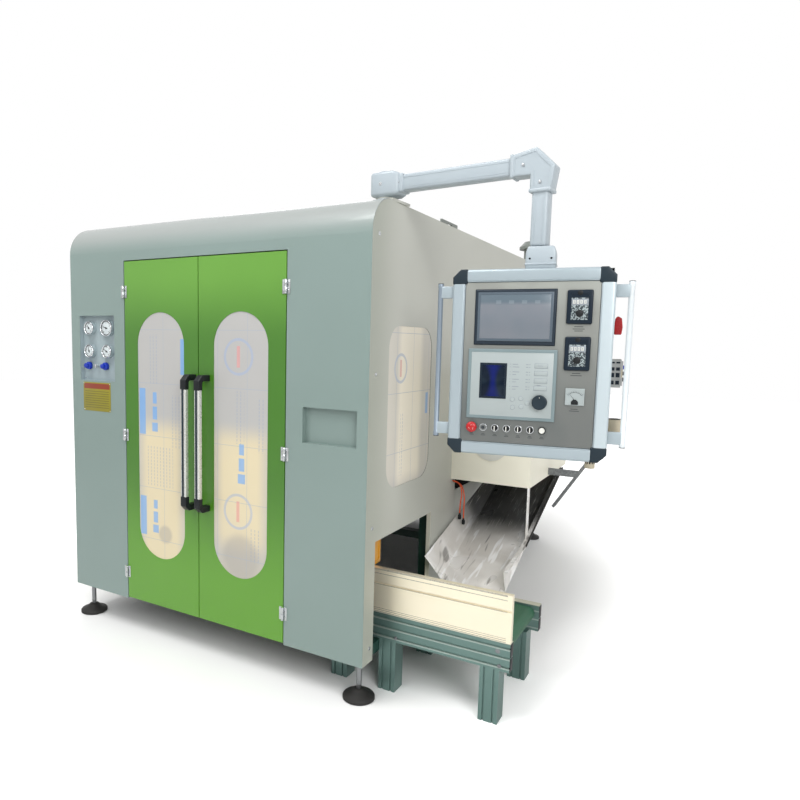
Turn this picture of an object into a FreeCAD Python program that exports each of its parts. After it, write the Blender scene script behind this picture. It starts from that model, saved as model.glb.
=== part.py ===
import FreeCAD, Part
import math
import os
import Sketcher

# Blow moulding machine for plastic cans: a cabinet with two doors, an outlet with a chute and a belt
# conveyor on its right side, and a control panel that hangs from a swing arm on the roof.
#
# Machine axes: X = 0 is the right side of the cabinet, which reaches to -X. Y = 0 is the front of the
# doors, and Y grows to the back. Z = 0 is the floor. All sizes are millimetres and degrees.
# The last two sizes put the middle of the whole machine's footprint over the origin.

SIZES = {
    # Cabinet
    "body_width": 1800,
    "body_depth": 3000,
    "body_top": 2110,
    "floor_gap": 175,            # from the floor to the lower edge of the sheets
    "sheet": 2,                  # thickness of all cabinet sheets
    "top_radius": 150,           # front cover's bend into the roof
    "cover_lap": 20,             # length of cover on the roof behind its bend
    "clip": 40,                  # height of the blocks that hold the sheets off the frame
    # Ventilator and lifting lug on the roof
    "vent_x": 137,
    "vent_back": 100,            # from the back of the cabinet to the vent's middle
    "vent_neck": 60,
    "vent_radius": 95,
    "vent_under": 2270,
    "vent_top": 2327,
    "lug_front": 771,
    "lug_back": 984,
    "lug_top": 2139,
    "lug_inset": 25,
    "lug_thick": 10,
    # Doors, measured to the left from the right side of the cabinet
    "door_left_edge": 1391,
    "door_meeting": 902,
    "door_right_edge": 406,
    "door_top": 1908,
    "door_bottom": 183,
    "door_gap": 5,
    "door_depth": 25,            # depth of the folded door
    "door_window_width": 310,
    "door_window_top": 1657,
    "door_window_bottom": 432,
    "pane": 3,                   # thickness of the window panes
    "pane_lap": 15,
    "jamb_depth": 30,
    # Hinges of the doors
    "hinge_top": 1759,
    "hinge_middle": 1041,
    "hinge_bottom": 322,
    "hinge_height": 60,
    "hinge_radius": 6,
    "hinge_standoff": 8,         # from the door's face to the hinge axis
    "leaf_width": 18,
    "leaf": 2,
    "pin_radius": 3,
    "pin_play": 0.05,
    # Door handles
    "handle_top": 1367,
    "handle_bottom": 724,
    "handle_end": 62,
    "handle_reach": 73,
    "handle_left_offset": 29,    # from the meeting line to each handle
    "handle_right_offset": 55,
    "handle_bar_width": 30,
    "handle_bar_depth": 20,
    "handle_foot": 28,
    "handle_round": 30,
    # Gauge plate behind its cut-out
    "gauge_left": 1734,
    "gauge_right": 1470,
    "gauge_top": 1643,
    "gauge_bottom": 1307,
    "gauge_setback": 25,
    "gauge_radius": 34,
    "gauge_radius_large": 42,
    "gauge_length": 20,
    "gauge_pitch": 134,
    "gauge_row_top": 1580,
    "gauge_row_low": 1460,
    "regulator_row": 1383,
    "regulator_left": 1681,
    "regulator_right": 1554,
    "regulator_collar": 21,
    "regulator_collar_length": 5,
    "knob_base_radius": 19.5,
    "knob_nose_radius": 12,
    "knob_length": 34.7,
    "stem_radius": 6,            # spindles of knobs and switches
    # Recessed hand pocket
    "recess_left": 315,
    "recess_right": 51,
    "recess_top": 1252,
    "recess_bottom": 1099,
    "recess_depth": 30,
    # Side window and outlet notch in the right side panel
    "side_window_front": 175,
    "side_window_back": 636,
    "side_window_top": 1603,
    "side_window_bottom": 898,
    "side_window_radius": 100,
    "outlet_front": 92,
    "outlet_back": 691,
    "outlet_top": 695,
    "outlet_flange": 20,
    # Base frame of box section
    "beam_wide": 60,
    "beam_high": 50,
    "frame_inset": 20,
    "row_front": 40,
    "row_mould": 740,
    "row_extruder": 1850,
    "ring_top": 2048,
    "bed_top": 690,
    "deck_top": 1610,
    "deck_gauge": 300,
    # Levelling feet
    "foot_inset": 50,
    "foot_front": 70,
    "foot_radius": 70,
    "foot_pad": 14,
    "foot_cone": 26,
    "foot_rod_radius": 9,
    "foot_nut_radius": 14,
    "foot_nut": 14,
    # Conveyor
    "conveyor_start": 260,       # from the cabinet's right side to the end inside
    "conveyor_end": 561,
    "conveyor_front": 190,
    "conveyor_back": 690,
    "guard_top": 548,
    "guard_thick": 25,
    "guard_slot_height": 482,
    "rail_top": 350,
    "rail_bottom": 230,
    "rail_thick": 40,
    "slot_width": 8,
    "slot_depth": 6,
    "slot_pitch": 40,
    "leg_width": 80,
    "leg_near": 22,              # middle of the near leg
    "leg_far": 480,
    "belt": 3,
    "belt_side_gap": 5,
    "clearance": 0.3,            # between a curved face and its neighbour, and beside hinge ears
    "roller_radius": 28,
    "roller_height": 310,
    "roller_inset": 50,
    "shaft_radius": 10,
    "shaft_play": 0.05,
    "cross_member": 40,
    "drive_left": 170,           # geared motor, inside the cabinet on top of the front guard
    "drive_right": 60,
    "drive_depth": 80,
    "drive_top": 690,
    "drive_motor_radius": 38,
    "drive_motor_length": 90,
    "chain_case": 20,
    # Chute
    "chute_low_y": 650,
    "chute_low_z": 380,
    "chute_length": 1120,
    "chute_angle": 20.7,
    "chute_left": 82,
    "chute_right": 402,
    "chute_flare": 72,
    "chute_wall": 122,           # wall height at the low end
    "chute_knee": 300,           # along the chute, where the right wall becomes low
    "chute_knee_wall": 56,
    "chute_right_far": 44,
    "chute_left_far": 52,
    "chute_lip": 23,
    "chute_foot_left": 120,
    "chute_foot_right": 364,
    "chute_bracket_y": 1600,
    # Outlet hood
    "hood_width": 414,
    "hood_front": 960,
    "hood_back": 1800,
    "hood_bottom": 820,
    "hood_top": 1400,
    "post": 10,
    "hood_disc_radius": 94,
    "hood_disc_height": 1033,
    "hood_disc": 4,
    "tray_x": 455,               # perforated cable tray: its lower end, width, length and slope
    "tray_y": 1340,
    "tray_z": 650,
    "tray_width": 60,
    "tray_length": 320,
    "tray_angle": 58,
    "tray_rim": 15,
    "tray_hole": 7,
    "tray_hole_pitch": 26,
    "tray_bracket_low": 830,
    "tray_bracket_high": 868,
    "hood_window_margin": 60,
    # Hanging sensor cables
    "cable_radius": 3.5,
    "cable_start_y": 985,
    "cable_start_z": 806,
    "cable_long_end": 640,
    "cable_short_end": 612,
    "plug_radius": 9,
    "plug_length": 34,
    # Swing arm
    "arm_pivot_x": 70,
    "arm_pivot_y": 250,
    "arm_yaw": -4,
    "arm_reach": 665,
    "arm_base_plate": 150,
    "arm_base_thick": 10,
    "arm_neck_radius": 42,
    "arm_head_bottom": 2138,
    "arm_head_width": 102,
    "arm_head_height": 100,
    "arm_tube_bottom": 2155,
    "arm_tube_height": 66,
    "arm_tube_width": 60,
    "arm_shaft_radius": 25,
    "arm_shaft_length": 50,
    "arm_wall": 3,
    "elbow_back": 110,
    "elbow_half": 38,
    "elbow_bottom": 2090,
    "elbow_top": 2246,
    "elbow_lip": 5,
    "elbow_crest": 18,
    "elbow_shoulder": 52,
    "elbow_shoulder_height": 2175,
    "coupling_top": 1895,
    "coupling_left": 47,
    "coupling_right": 62,
    "coupling_half_depth": 40,
    "coupling_plate": 12,
    "spigot_radius": 20,
    "spigot_length": 40,
    # Control panel, in its own axes around the swivel
    "panel_yaw": 9.6,
    "panel_width": 572,
    "panel_height": 695,
    "panel_bottom": 1113,
    "panel_offset": 16,          # the panel's middle lies this far left of the swivel
    "panel_front": 80,
    "frame_depth": 50,
    "frame_bar": 50,
    "cap_size": 55,
    "cap_chamfer": 27,
    "face_setback": 3,
    "face_sheet": 3,
    "rear_depth": 110,
    "rear_inset": 8,
    "rear_sheet": 1.5,
    "screen_width": 287,
    "screen_height": 201,
    "screen_x": -53.5,
    "screen_z": 517.5,
    "screen_margin": 25,
    "bezel": 6,
    "recess": 1,                 # depth of displays and key fields
    "controller_width": 319,
    "controller_height": 262,
    "controller_x": -56.5,
    "controller_z": 270,
    "controller_rim": 13,
    "lcd_width": 99,
    "lcd_height": 133,
    "lcd_x": -121.5,
    "lcd_z": 282.5,
    "key_top_z": 342,
    "key_pitch": 27.3,
    "key_width": 46,
    "key_height": 18,
    "arrow_key": 16,
    "encoder_radius": 27,
    "encoder_x": 48.7,
    "encoder_z": 209,
    "encoder_depth": 20,
    "keypad_width": 87,
    "keypad_height": 121,
    "keypad_x": 169,
    "keypad_upper_z": 554.5,
    "keypad_lower_z": 389,
    "keypad_depth": 12,
    "keypad_upper_knob_z": 531.6,
    "keypad_lower_knob_z": 365.7,
    "keypad_knob_radius": 11,
    "keypad_knob_depth": 6,
    "meter_width": 65,
    "meter_height": 61,
    "meter_x": 169,
    "meter_z": 234.5,
    "row_height": 105,
    "stop_x": -193.5,
    "lamp_x": -151,
    "selector_first_x": -107.5,
    "selector_pitch": 42.5,
    "start_x": 62,
    "ring_radius": 14.5,
    "ring_bore": 10.5,
    "ring_depth": 5,
    "stop_radius": 20,
    "stop_depth": 12,
    "stop_travel": 6,
    "stem_depth": 8,             # length of a button or switch behind the face plate
    "button_play": 0.05,
    "start_depth": 5,
    "switch_bar": 8,
    "switch_bar_depth": 14,
    "lamp_depth": 9,
    "grip_radius": 11,
    "grip_offset": 336,
    "grip_top": 645,
    "grip_bottom": 58,
    "bracket_height": 45,
    "bracket_depth": 30,
    "side_mid": 20,              # middle of the side fittings behind the swivel axis
    "breaker_width": 54,
    "breaker_depth": 40,
    "breaker_bottom": 270,
    "breaker_top": 372,
    "toggle_height": 30,
    "lever_height": 460,
    "lever_length": 64,
    "lever_width": 14,
    "lever_base_radius": 24,
    "lever_base": 10,
    "lever_depth": 26,
    "buzzer_bottom": 77,
    "buzzer_top": 152,
    "buzzer_radius": 24,
    "gland_x": 217,
    "gland_y": 50,
    "gland_radius": 18,
    "gland_length": 49,
    # Extruder
    "screw_axis_x": 900,
    "screw_axis_z": 1730,
    "head_y": 1100,
    "head_half": 95,
    "head_bottom": 1560,
    "head_top": 1830,
    "head_foot": 30,
    "die_radius": 40,
    "die_bottom": 1460,
    "die_gap": 12,
    "barrel_radius": 45,
    "screw_radius": 25,
    "screw_core": 17,
    "screw_play": 0.1,
    "gearbox_back": 750,         # from the back of the cabinet to the end of the barrel
    "band_radius": 53,
    "band_width": 150,
    "band_pitch": 190,
    "feed_boss": 70,
    "feed_top": 1790,
    "saddle": 40,
    "gearbox_width": 320,
    "gearbox_length": 250,
    "gearbox_height": 270,
    "motor_radius": 105,
    "motor_length": 400,
    "screw_shank": 50,
    "hopper_back": 830,          # from the back of the cabinet to the hopper's middle
    "hopper_neck": 60,
    "hopper_duct": 42,           # half of the width of the square duct under the hopper
    "hopper_flange": 68,
    "hopper_radius": 220,
    "hopper_cone_bottom": 2140,
    "hopper_cone_top": 2320,
    "hopper_top": 2380,
    "hopper_wall": 2,
    "lid": 3,
    "lid_eye": 7,
    "lid_eye_length": 40,
    "lid_pin": 3,
    "lid_hinge": 250,            # from the hopper's middle to the hinge of its lid
    "ear": 8,
    # Moulds and clamp
    "mould_open": 130,
    "mould_thick": 150,
    "mould_depth": 300,
    "mould_bottom": 880,
    "mould_top": 1300,
    "platen_thick": 40,
    "platen_depth": 460,
    "platen_bottom": 800,
    "platen_top": 1380,
    "cavity_depth": 65,
    "cavity_width": 190,
    "cavity_bottom": 950,
    "cavity_top": 1240,
    "neck_radius": 20,
    "bar_radius": 25,
    "bar_play": 0.05,
    "bar_spread_y": 190,
    "bar_spread_z": 240,
    "clamp_middle": 1090,
    "end_plate_x": 500,
    "end_plate": 40,
    "clamp_radius": 65,
    "clamp_length": 175,
    "ram_radius": 22,
    "ram_length": 368,
    "blow_pin_radius": 13,
    "blow_pin_bottom": 715,
    "blow_pin_top": 865,
    "blow_cylinder_radius": 32,
    "blow_cylinder_top": 848,
    "blow_plate": 8,
    "blow_plate_half": 100,
    # Place of the machine in the frame
    "machine_x": 443.5,
    "machine_y": -1463.5,
}

doc = FreeCAD.newDocument("BlowMouldingMachine")
sheet = doc.addObject("Spreadsheet::Sheet", "Sizes")
for row, (alias, number) in enumerate(SIZES.items(), start=1):
    sheet.set(f"A{row}", alias)
    sheet.set(f"B{row}", str(number))
    sheet.setAlias(f"B{row}", alias)
doc.recompute()


class Size:
    """A sheet value or a formula of sheet values: its text binds a property, its number starts a sketch."""

    def __init__(self, text, number):
        self.text = text
        self.number = number

    def __add__(self, other):
        other = size(other)
        return Size(f"({self.text} + {other.text})", self.number + other.number)

    def __radd__(self, other):
        return size(other) + self

    def __sub__(self, other):
        other = size(other)
        return Size(f"({self.text} - {other.text})", self.number - other.number)

    def __rsub__(self, other):
        return size(other) - self

    def __mul__(self, other):
        other = size(other)
        return Size(f"({self.text} * {other.text})", self.number * other.number)

    def __rmul__(self, other):
        return size(other) * self

    def __truediv__(self, other):
        other = size(other)
        return Size(f"({self.text} / {other.text})", self.number / other.number)

    def __neg__(self):
        return size(0) - self


def size(value):
    """Give a plain number the form of a Size."""
    return value if isinstance(value, Size) else Size(f"({float(value)})", float(value))


def sine(angle):
    return Size(f"sin({angle.text})", math.sin(math.radians(angle.number)))


def cosine(angle):
    return Size(f"cos({angle.text})", math.cos(math.radians(angle.number)))


class Sizes:
    """The sheet's values as attributes."""


S = Sizes()
for alias in SIZES:
    setattr(S, alias, Size(f"Sizes.{alias}", float(sheet.get(alias))))
S.vent_y = S.body_depth - S.vent_back
S.hopper_y = S.body_depth - S.hopper_back
S.barrel_end = S.body_depth - S.gearbox_back


# ---------------------------------------------------------------- small tools for making solids

AXES = {
    "x": FreeCAD.Rotation(FreeCAD.Vector(0, 1, 0), 90),
    "y": FreeCAD.Rotation(FreeCAD.Vector(1, 0, 0), -90),
    "z": FreeCAD.Rotation(),
}
PLANES = {"xy": "XY_Plane", "xz": "XZ_Plane", "yz": "YZ_Plane"}
nodes = []


def bind(thing, prop, value):
    """Tie a property to a formula of the sheet."""
    thing.setExpression(prop, size(value).text)


def bind_base(thing, at):
    for letter, value in zip("xyz", at):
        bind(thing, f"Placement.Base.{letter}", value)


def box(low, high):
    """A block between two corners."""
    solid = doc.addObject("Part::Box", "Block")
    bind(solid, "Length", high[0] - size(low[0]))
    bind(solid, "Width", high[1] - size(low[1]))
    bind(solid, "Height", high[2] - size(low[2]))
    bind_base(solid, low)
    return solid


def rod(start, length, radius, axis="z"):
    """A cylinder from the middle of its first end, along +x, +y or +z."""
    solid = doc.addObject("Part::Cylinder", "Round")
    bind(solid, "Radius", radius)
    bind(solid, "Height", length)
    solid.Placement.Rotation = AXES[axis]
    bind_base(solid, start)
    return solid


def cone(start, length, first_radius, last_radius, axis="z"):
    """A cone from the middle of its first end, along +x, +y or +z."""
    solid = doc.addObject("Part::Cone", "Taper")
    bind(solid, "Radius1", first_radius)
    bind(solid, "Radius2", last_radius)
    bind(solid, "Height", length)
    solid.Placement.Rotation = AXES[axis]
    bind_base(solid, start)
    return solid


def fuse(parts):
    solid = doc.addObject("Part::MultiFuse", "Joined")
    solid.Shapes = parts
    solid.Refine = True
    return solid


def cut(base, tools):
    solid = doc.addObject("Part::Cut", "Cut")
    solid.Base = base
    solid.Tool = tools[0] if len(tools) == 1 else group(tools)
    solid.Refine = True
    return solid


def group(parts):
    """Separate solids side by side in one object."""
    solid = doc.addObject("Part::Compound", "Group")
    solid.Links = parts
    return solid


def new_body(name):
    return doc.addObject("PartDesign::Body", name)


def plane_sketch(body, plane, offset=None):
    """A sketch on one of the body's own origin planes, moved along the plane's normal by offset."""
    sketch = body.newObject("Sketcher::SketchObject", "Outline")
    support = [face for face in body.Origin.OriginFeatures if face.Role == PLANES[plane]][0]
    sketch.AttachmentSupport = (support, [""])
    sketch.MapMode = "FlatFace"
    if offset is not None:
        bind(sketch, "AttachmentOffset.Base.z", offset)
    return sketch


def lock(sketch, geometry, point, x, y):
    """Hold a point of a sketch at bound distances from the sketch's origin."""
    for kind, value in (("DistanceX", x), ("DistanceY", y)):
        if value is None:
            continue
        value = size(value)
        index = sketch.addConstraint(Sketcher.Constraint(kind, -1, 1, geometry, point, value.number))
        sketch.setExpression(f"Constraints[{index}]", value.text)


def lock_radius(sketch, geometry, radius):
    index = sketch.addConstraint(Sketcher.Constraint("Radius", geometry, radius.number))
    sketch.setExpression(f"Constraints[{index}]", radius.text)


def unit(start, end):
    """The axis direction, as -1, 0 or 1 in x and y, from one corner to the next."""
    dx = end[0].number - start[0].number
    dy = end[1].number - start[1].number
    if abs(dx) > abs(dy):
        return (math.copysign(1, dx), 0)
    return (0, math.copysign(1, dy))


def outline(sketch, corners):
    """A closed outline. A corner is (x, y), or (x, y, radius) where two square runs are rounded off."""
    corners = [[size(value) for value in corner] for corner in corners]
    count = len(corners)
    ends = []
    for index, corner in enumerate(corners):
        if len(corner) == 2:
            ends.append((corner[:2], corner[:2], None))
            continue
        x, y, radius = corner
        before = unit(corners[index - 1], corner)
        after = unit(corner, corners[(index + 1) % count])
        start = [x - radius * before[0], y - radius * before[1]]
        end = [x + radius * after[0], y + radius * after[1]]
        middle = [start[0] + radius * after[0], start[1] + radius * after[1]]
        left_turn = before[0] * after[1] - before[1] * after[0] > 0
        ends.append((start, end, (middle, radius, left_turn)))
    pieces = []
    for index in range(count):
        start, end, arc = ends[index]
        if arc:
            middle, radius, left_turn = arc
            first, last = (start, end) if left_turn else (end, start)
            angles = [math.atan2(point[1].number - middle[1].number, point[0].number - middle[0].number)
                      for point in (first, last)]
            if angles[1] < angles[0]:
                angles[1] += 2 * math.pi
            centre = FreeCAD.Vector(middle[0].number, middle[1].number, 0)
            circle = Part.Circle(centre, FreeCAD.Vector(0, 0, 1), radius.number)
            geometry = sketch.addGeometry(Part.ArcOfCircle(circle, angles[0], angles[1]))
            lock(sketch, geometry, 1, *first)
            lock(sketch, geometry, 2, *last)
            lock_radius(sketch, geometry, radius)
            pieces.append((geometry, 1, 2) if left_turn else (geometry, 2, 1))
        following = ends[(index + 1) % count][0]
        line = Part.LineSegment(FreeCAD.Vector(end[0].number, end[1].number, 0),
                                FreeCAD.Vector(following[0].number, following[1].number, 0))
        geometry = sketch.addGeometry(line)
        if not arc:
            lock(sketch, geometry, 1, *end)
        pieces.append((geometry, 1, 2))
    for index, (geometry, _, last) in enumerate(pieces):
        following, first, _ = pieces[(index + 1) % len(pieces)]
        sketch.addConstraint(Sketcher.Constraint("Coincident", geometry, last, following, first))


def slot(sketch, middles, radius, upright=True):
    """A slot with round ends around two middles, given from the low or left one to the other."""
    radius = size(radius)
    (x0, y0), (x1, y1) = [[size(value) for value in middle] for middle in middles]
    turn = 0 if upright else math.pi / 2
    normal = FreeCAD.Vector(0, 0, 1)
    arcs = []
    for (x, y), start in (((x1, y1), -turn), ((x0, y0), math.pi - turn)):
        circle = Part.Circle(FreeCAD.Vector(x.number, y.number, 0), normal, radius.number)
        arc = sketch.addGeometry(Part.ArcOfCircle(circle, start, start + math.pi))
        lock(sketch, arc, 3, x, y)
        lock_radius(sketch, arc, radius)
        for point in (1, 2):
            if upright:
                lock(sketch, arc, point, None, y)
            else:
                lock(sketch, arc, point, x, None)
        arcs.append(arc)
    for first, last in ((0, 1), (1, 0)):
        start = sketch.getPoint(arcs[first], 2)
        end = sketch.getPoint(arcs[last], 1)
        line = sketch.addGeometry(Part.LineSegment(start, end))
        sketch.addConstraint(Sketcher.Constraint("Coincident", arcs[first], 2, line, 1))
        sketch.addConstraint(Sketcher.Constraint("Coincident", line, 2, arcs[last], 1))


def pad(body, sketch, length, backwards=False):
    feature = body.newObject("PartDesign::Pad", "Pad")
    feature.Profile = sketch
    bind(feature, "Length", length)
    feature.Reversed = backwards
    return feature


def turned(name, profile, axis="y"):
    """A turned piece: (radius, place along the axis) corners, spun about the body's y or z axis."""
    body = new_body(name)
    sketch = plane_sketch(body, "xy" if axis == "y" else "xz")
    outline(sketch, profile)
    feature = body.newObject("PartDesign::Revolution", "Turned")
    feature.Profile = sketch
    role = {"y": "Y_Axis", "z": "Z_Axis"}[axis]
    line = [item for item in body.Origin.OriginFeatures if item.Role == role][0]
    feature.ReferenceAxis = (line, [""])
    feature.Angle = 360
    return body


def moved(body, at):
    bind_base(body, at)
    return body


MACHINE = (S.machine_x, S.machine_y, 0, 0)
ARM = (S.machine_x - S.arm_pivot_x, S.machine_y + S.arm_pivot_y, 0, S.arm_yaw)
PANEL = (ARM[0] + S.arm_reach * cosine(S.arm_yaw), ARM[1] + S.arm_reach * sine(S.arm_yaw), 0, S.panel_yaw)


def node(label, parts, spot=MACHINE):
    """Name a finished piece and set it in the machine. A list is a group of separate solids."""
    piece = group(parts if isinstance(parts, list) else [parts])
    piece.Label = label
    bind_base(piece, spot[:3])
    bind(piece, "Placement.Rotation.Angle", spot[3])
    nodes.append(piece)


# ---------------------------------------------------------------- cabinet

left_side = -S.body_width
inside_left = left_side + S.sheet
inside_right = -S.sheet
roof_under = S.body_top - S.sheet
bend_start = S.body_top - S.top_radius
inside_back = S.body_depth - S.sheet


def bent_corner(sketch, front, top, radius, back, bottom, thickness=None):
    """Side view of the cover or of a side panel: upright front, round corner, flat top."""
    if thickness is None:
        outline(sketch, [(front, bottom), (back, bottom), (back, top), (front, top, radius)])
        return
    outline(sketch, [
        (front, bottom), (front + thickness, bottom),
        (front + thickness, top - thickness, radius - thickness),
        (back, top - thickness), (back, top), (front, top, radius)])


def cut_out(left, right, low, high):
    """A block that opens the front sheet between two distances from the right side."""
    return box((-left, -S.sheet, low), (-right, 2 * S.sheet, high))


def make_front_cover():
    body = new_body("CoverSheet")
    sketch = plane_sketch(body, "yz")
    bent_corner(sketch, 0, S.body_top, S.top_radius, S.top_radius + S.cover_lap, S.floor_gap, S.sheet)
    pad(body, sketch, S.body_width, backwards=True)
    door_side_left = S.door_left_edge + S.door_gap
    door_side_right = S.door_right_edge - S.door_gap
    door_head = S.door_top + S.door_gap
    opened = cut(body, [
        cut_out(door_side_left, door_side_right, S.floor_gap - S.sheet, door_head),
        cut_out(S.gauge_left, S.gauge_right, S.gauge_bottom, S.gauge_top),
        cut_out(S.recess_left, S.recess_right, S.recess_bottom, S.recess_top),
    ])
    pocket = cut(
        box((-S.recess_left - S.sheet, S.sheet, S.recess_bottom - S.sheet),
            (-S.recess_right + S.sheet, S.recess_depth, S.recess_top + S.sheet)),
        [box((-S.recess_left, 0, S.recess_bottom),
             (-S.recess_right, S.recess_depth - S.sheet, S.recess_top))])
    jambs = [
        box((-door_side_left - S.sheet, S.sheet, S.floor_gap), (-door_side_left, S.jamb_depth, door_head)),
        box((-door_side_right, S.sheet, S.floor_gap), (-door_side_right + S.sheet, S.jamb_depth, door_head)),
        box((-door_side_left - S.sheet, S.sheet, door_head),
            (-door_side_right + S.sheet, S.jamb_depth, door_head + S.sheet)),
    ]
    leaves = hinge_leaves(-S.door_left_edge - S.door_gap / 2, -1, 0)
    leaves += hinge_leaves(-S.door_right_edge + S.door_gap / 2, 1, 0)
    return fuse([opened, pocket] + jambs + leaves)


def hinge_heights():
    return (S.hinge_bottom, S.hinge_middle, S.hinge_top)


def hinge_leaves(axis_x, side, half):
    """One leaf of each of a door's three hinges, on the side of the axis given by its sign.

    half 0 is the fixed lower knuckle, half 1 the door's upper one."""
    solids = []
    split = S.clearance
    for middle in hinge_heights():
        low = middle - S.hinge_height / 2 if half == 0 else middle + split
        knuckle = S.hinge_height / 2 - split
        near = axis_x + side * S.door_gap / 2
        far = near + side * S.leaf_width
        first, last = (near, far) if side > 0 else (far, near)
        leaf = box((first, -S.leaf, middle - S.hinge_height / 2), (last, 0, middle + S.hinge_height / 2))
        first, last = (axis_x, near) if side > 0 else (near, axis_x)
        web = box((first, -S.hinge_standoff, low), (last, -S.leaf, low + knuckle))
        first, last = (axis_x, near + S.leaf) if side > 0 else (near - S.leaf, axis_x)
        root = box((first, -S.leaf - S.leaf, low), (last, -S.leaf, low + knuckle))
        eye = rod((axis_x, -S.hinge_standoff, low), knuckle, S.hinge_radius)
        bore = rod((axis_x, -S.hinge_standoff, low), knuckle, S.pin_radius + S.pin_play)
        solids.append(cut(fuse([leaf, web, root, eye]), [bore]))
    return solids


def make_hinge_pins():
    pins = []
    for axis_x in (-S.door_left_edge - S.door_gap / 2, -S.door_right_edge + S.door_gap / 2):
        for middle in hinge_heights():
            low = middle - S.hinge_height / 2
            pins.append(rod((axis_x, -S.hinge_standoff, low), S.hinge_height, S.pin_radius))
    return pins


def make_side_panel(with_outlet):
    body = new_body("SideSheet")
    sketch = plane_sketch(body, "yz")
    radius = S.top_radius
    if with_outlet:
        outline(sketch, [
            (S.sheet, S.floor_gap), (S.outlet_front, S.floor_gap), (S.outlet_front, S.outlet_top),
            (S.outlet_back, S.outlet_top), (S.outlet_back, S.floor_gap), (inside_back, S.floor_gap),
            (inside_back, roof_under), (S.sheet, roof_under, radius)])
        outline(sketch, [
            (S.side_window_front, S.side_window_bottom, S.side_window_radius),
            (S.side_window_back, S.side_window_bottom, S.side_window_radius),
            (S.side_window_back, S.side_window_top, S.side_window_radius),
            (S.side_window_front, S.side_window_top, S.side_window_radius)])
        margin = S.hood_window_margin
        outline(sketch, [
            (S.hood_front + margin, S.bed_top + margin), (S.hood_back - margin, S.bed_top + margin),
            (S.hood_back - margin, S.hood_top - margin), (S.hood_front + margin, S.hood_top - margin)])
    else:
        bent_corner(sketch, S.sheet, roof_under, radius, inside_back, S.floor_gap)
    pad(body, sketch, S.sheet, backwards=True)
    if not with_outlet:
        return moved(body, (inside_left, 0, 0))
    returns = [
        box((-S.outlet_flange, S.outlet_back, S.floor_gap), (0, S.outlet_back + S.sheet, S.outlet_top)),
        box((-S.outlet_flange, S.outlet_front, S.outlet_top),
            (0, S.outlet_back + S.sheet, S.outlet_top + S.sheet)),
    ]
    return fuse([body] + returns)


def make_side_window():
    body = new_body("SidePane")
    sketch = plane_sketch(body, "yz", -S.sheet)
    lap = S.pane_lap
    low = (S.side_window_front - lap, S.side_window_bottom - lap)
    high = (S.side_window_back + lap, S.side_window_top + lap)
    radius = S.side_window_radius + lap
    outline(sketch, [(low[0], low[1], radius), (high[0], low[1], radius),
                     (high[0], high[1], radius), (low[0], high[1], radius)])
    pad(body, sketch, S.pane, backwards=True)
    return body


def make_roof():
    front = S.top_radius + S.cover_lap
    deck = box((left_side, front, roof_under), (0, S.body_depth, S.body_top))
    half = S.hopper_neck + 2 * S.sheet
    throat = box((-S.screw_axis_x - half, S.hopper_y - half, roof_under - S.sheet),
                 (-S.screw_axis_x + half, S.hopper_y + half, S.body_top + S.sheet))
    stack = rod((-S.vent_x, S.vent_y, S.body_top), S.vent_under - S.body_top, S.vent_neck)
    brim = (S.vent_top - S.vent_under) / 3
    rim = rod((-S.vent_x, S.vent_y, S.vent_under), brim, S.vent_radius)
    cowl = cone((-S.vent_x, S.vent_y, S.vent_under + brim), 2 * brim, S.vent_radius, S.vent_neck)
    plate = box((-S.lug_inset - S.lug_thick, S.lug_front, S.body_top), (-S.lug_inset, S.lug_back, S.lug_top))
    middle = (S.lug_front + S.lug_back) / 2
    eye = box((-S.lug_inset - 2 * S.lug_thick, middle - S.lug_thick * 3, S.body_top + S.lug_thick / 2),
              (-S.lug_inset + S.lug_thick, middle + S.lug_thick * 3, S.lug_top - S.lug_thick))
    return fuse([cut(deck, [throat]), stack, rim, cowl, cut(plate, [eye])])


def make_rear_panel():
    plate = box((left_side, inside_back, S.floor_gap), (0, S.body_depth, roof_under))
    slots = []
    for column in (0.3, 0.7):
        for row in range(10):
            low = S.bed_top + row * S.beam_high
            middle = left_side * column
            slots.append(box((middle - S.beam_wide * 2, inside_back - S.sheet, low),
                             (middle + S.beam_wide * 2, S.body_depth + S.sheet, low + S.beam_high / 3)))
    return cut(plate, slots)


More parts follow.
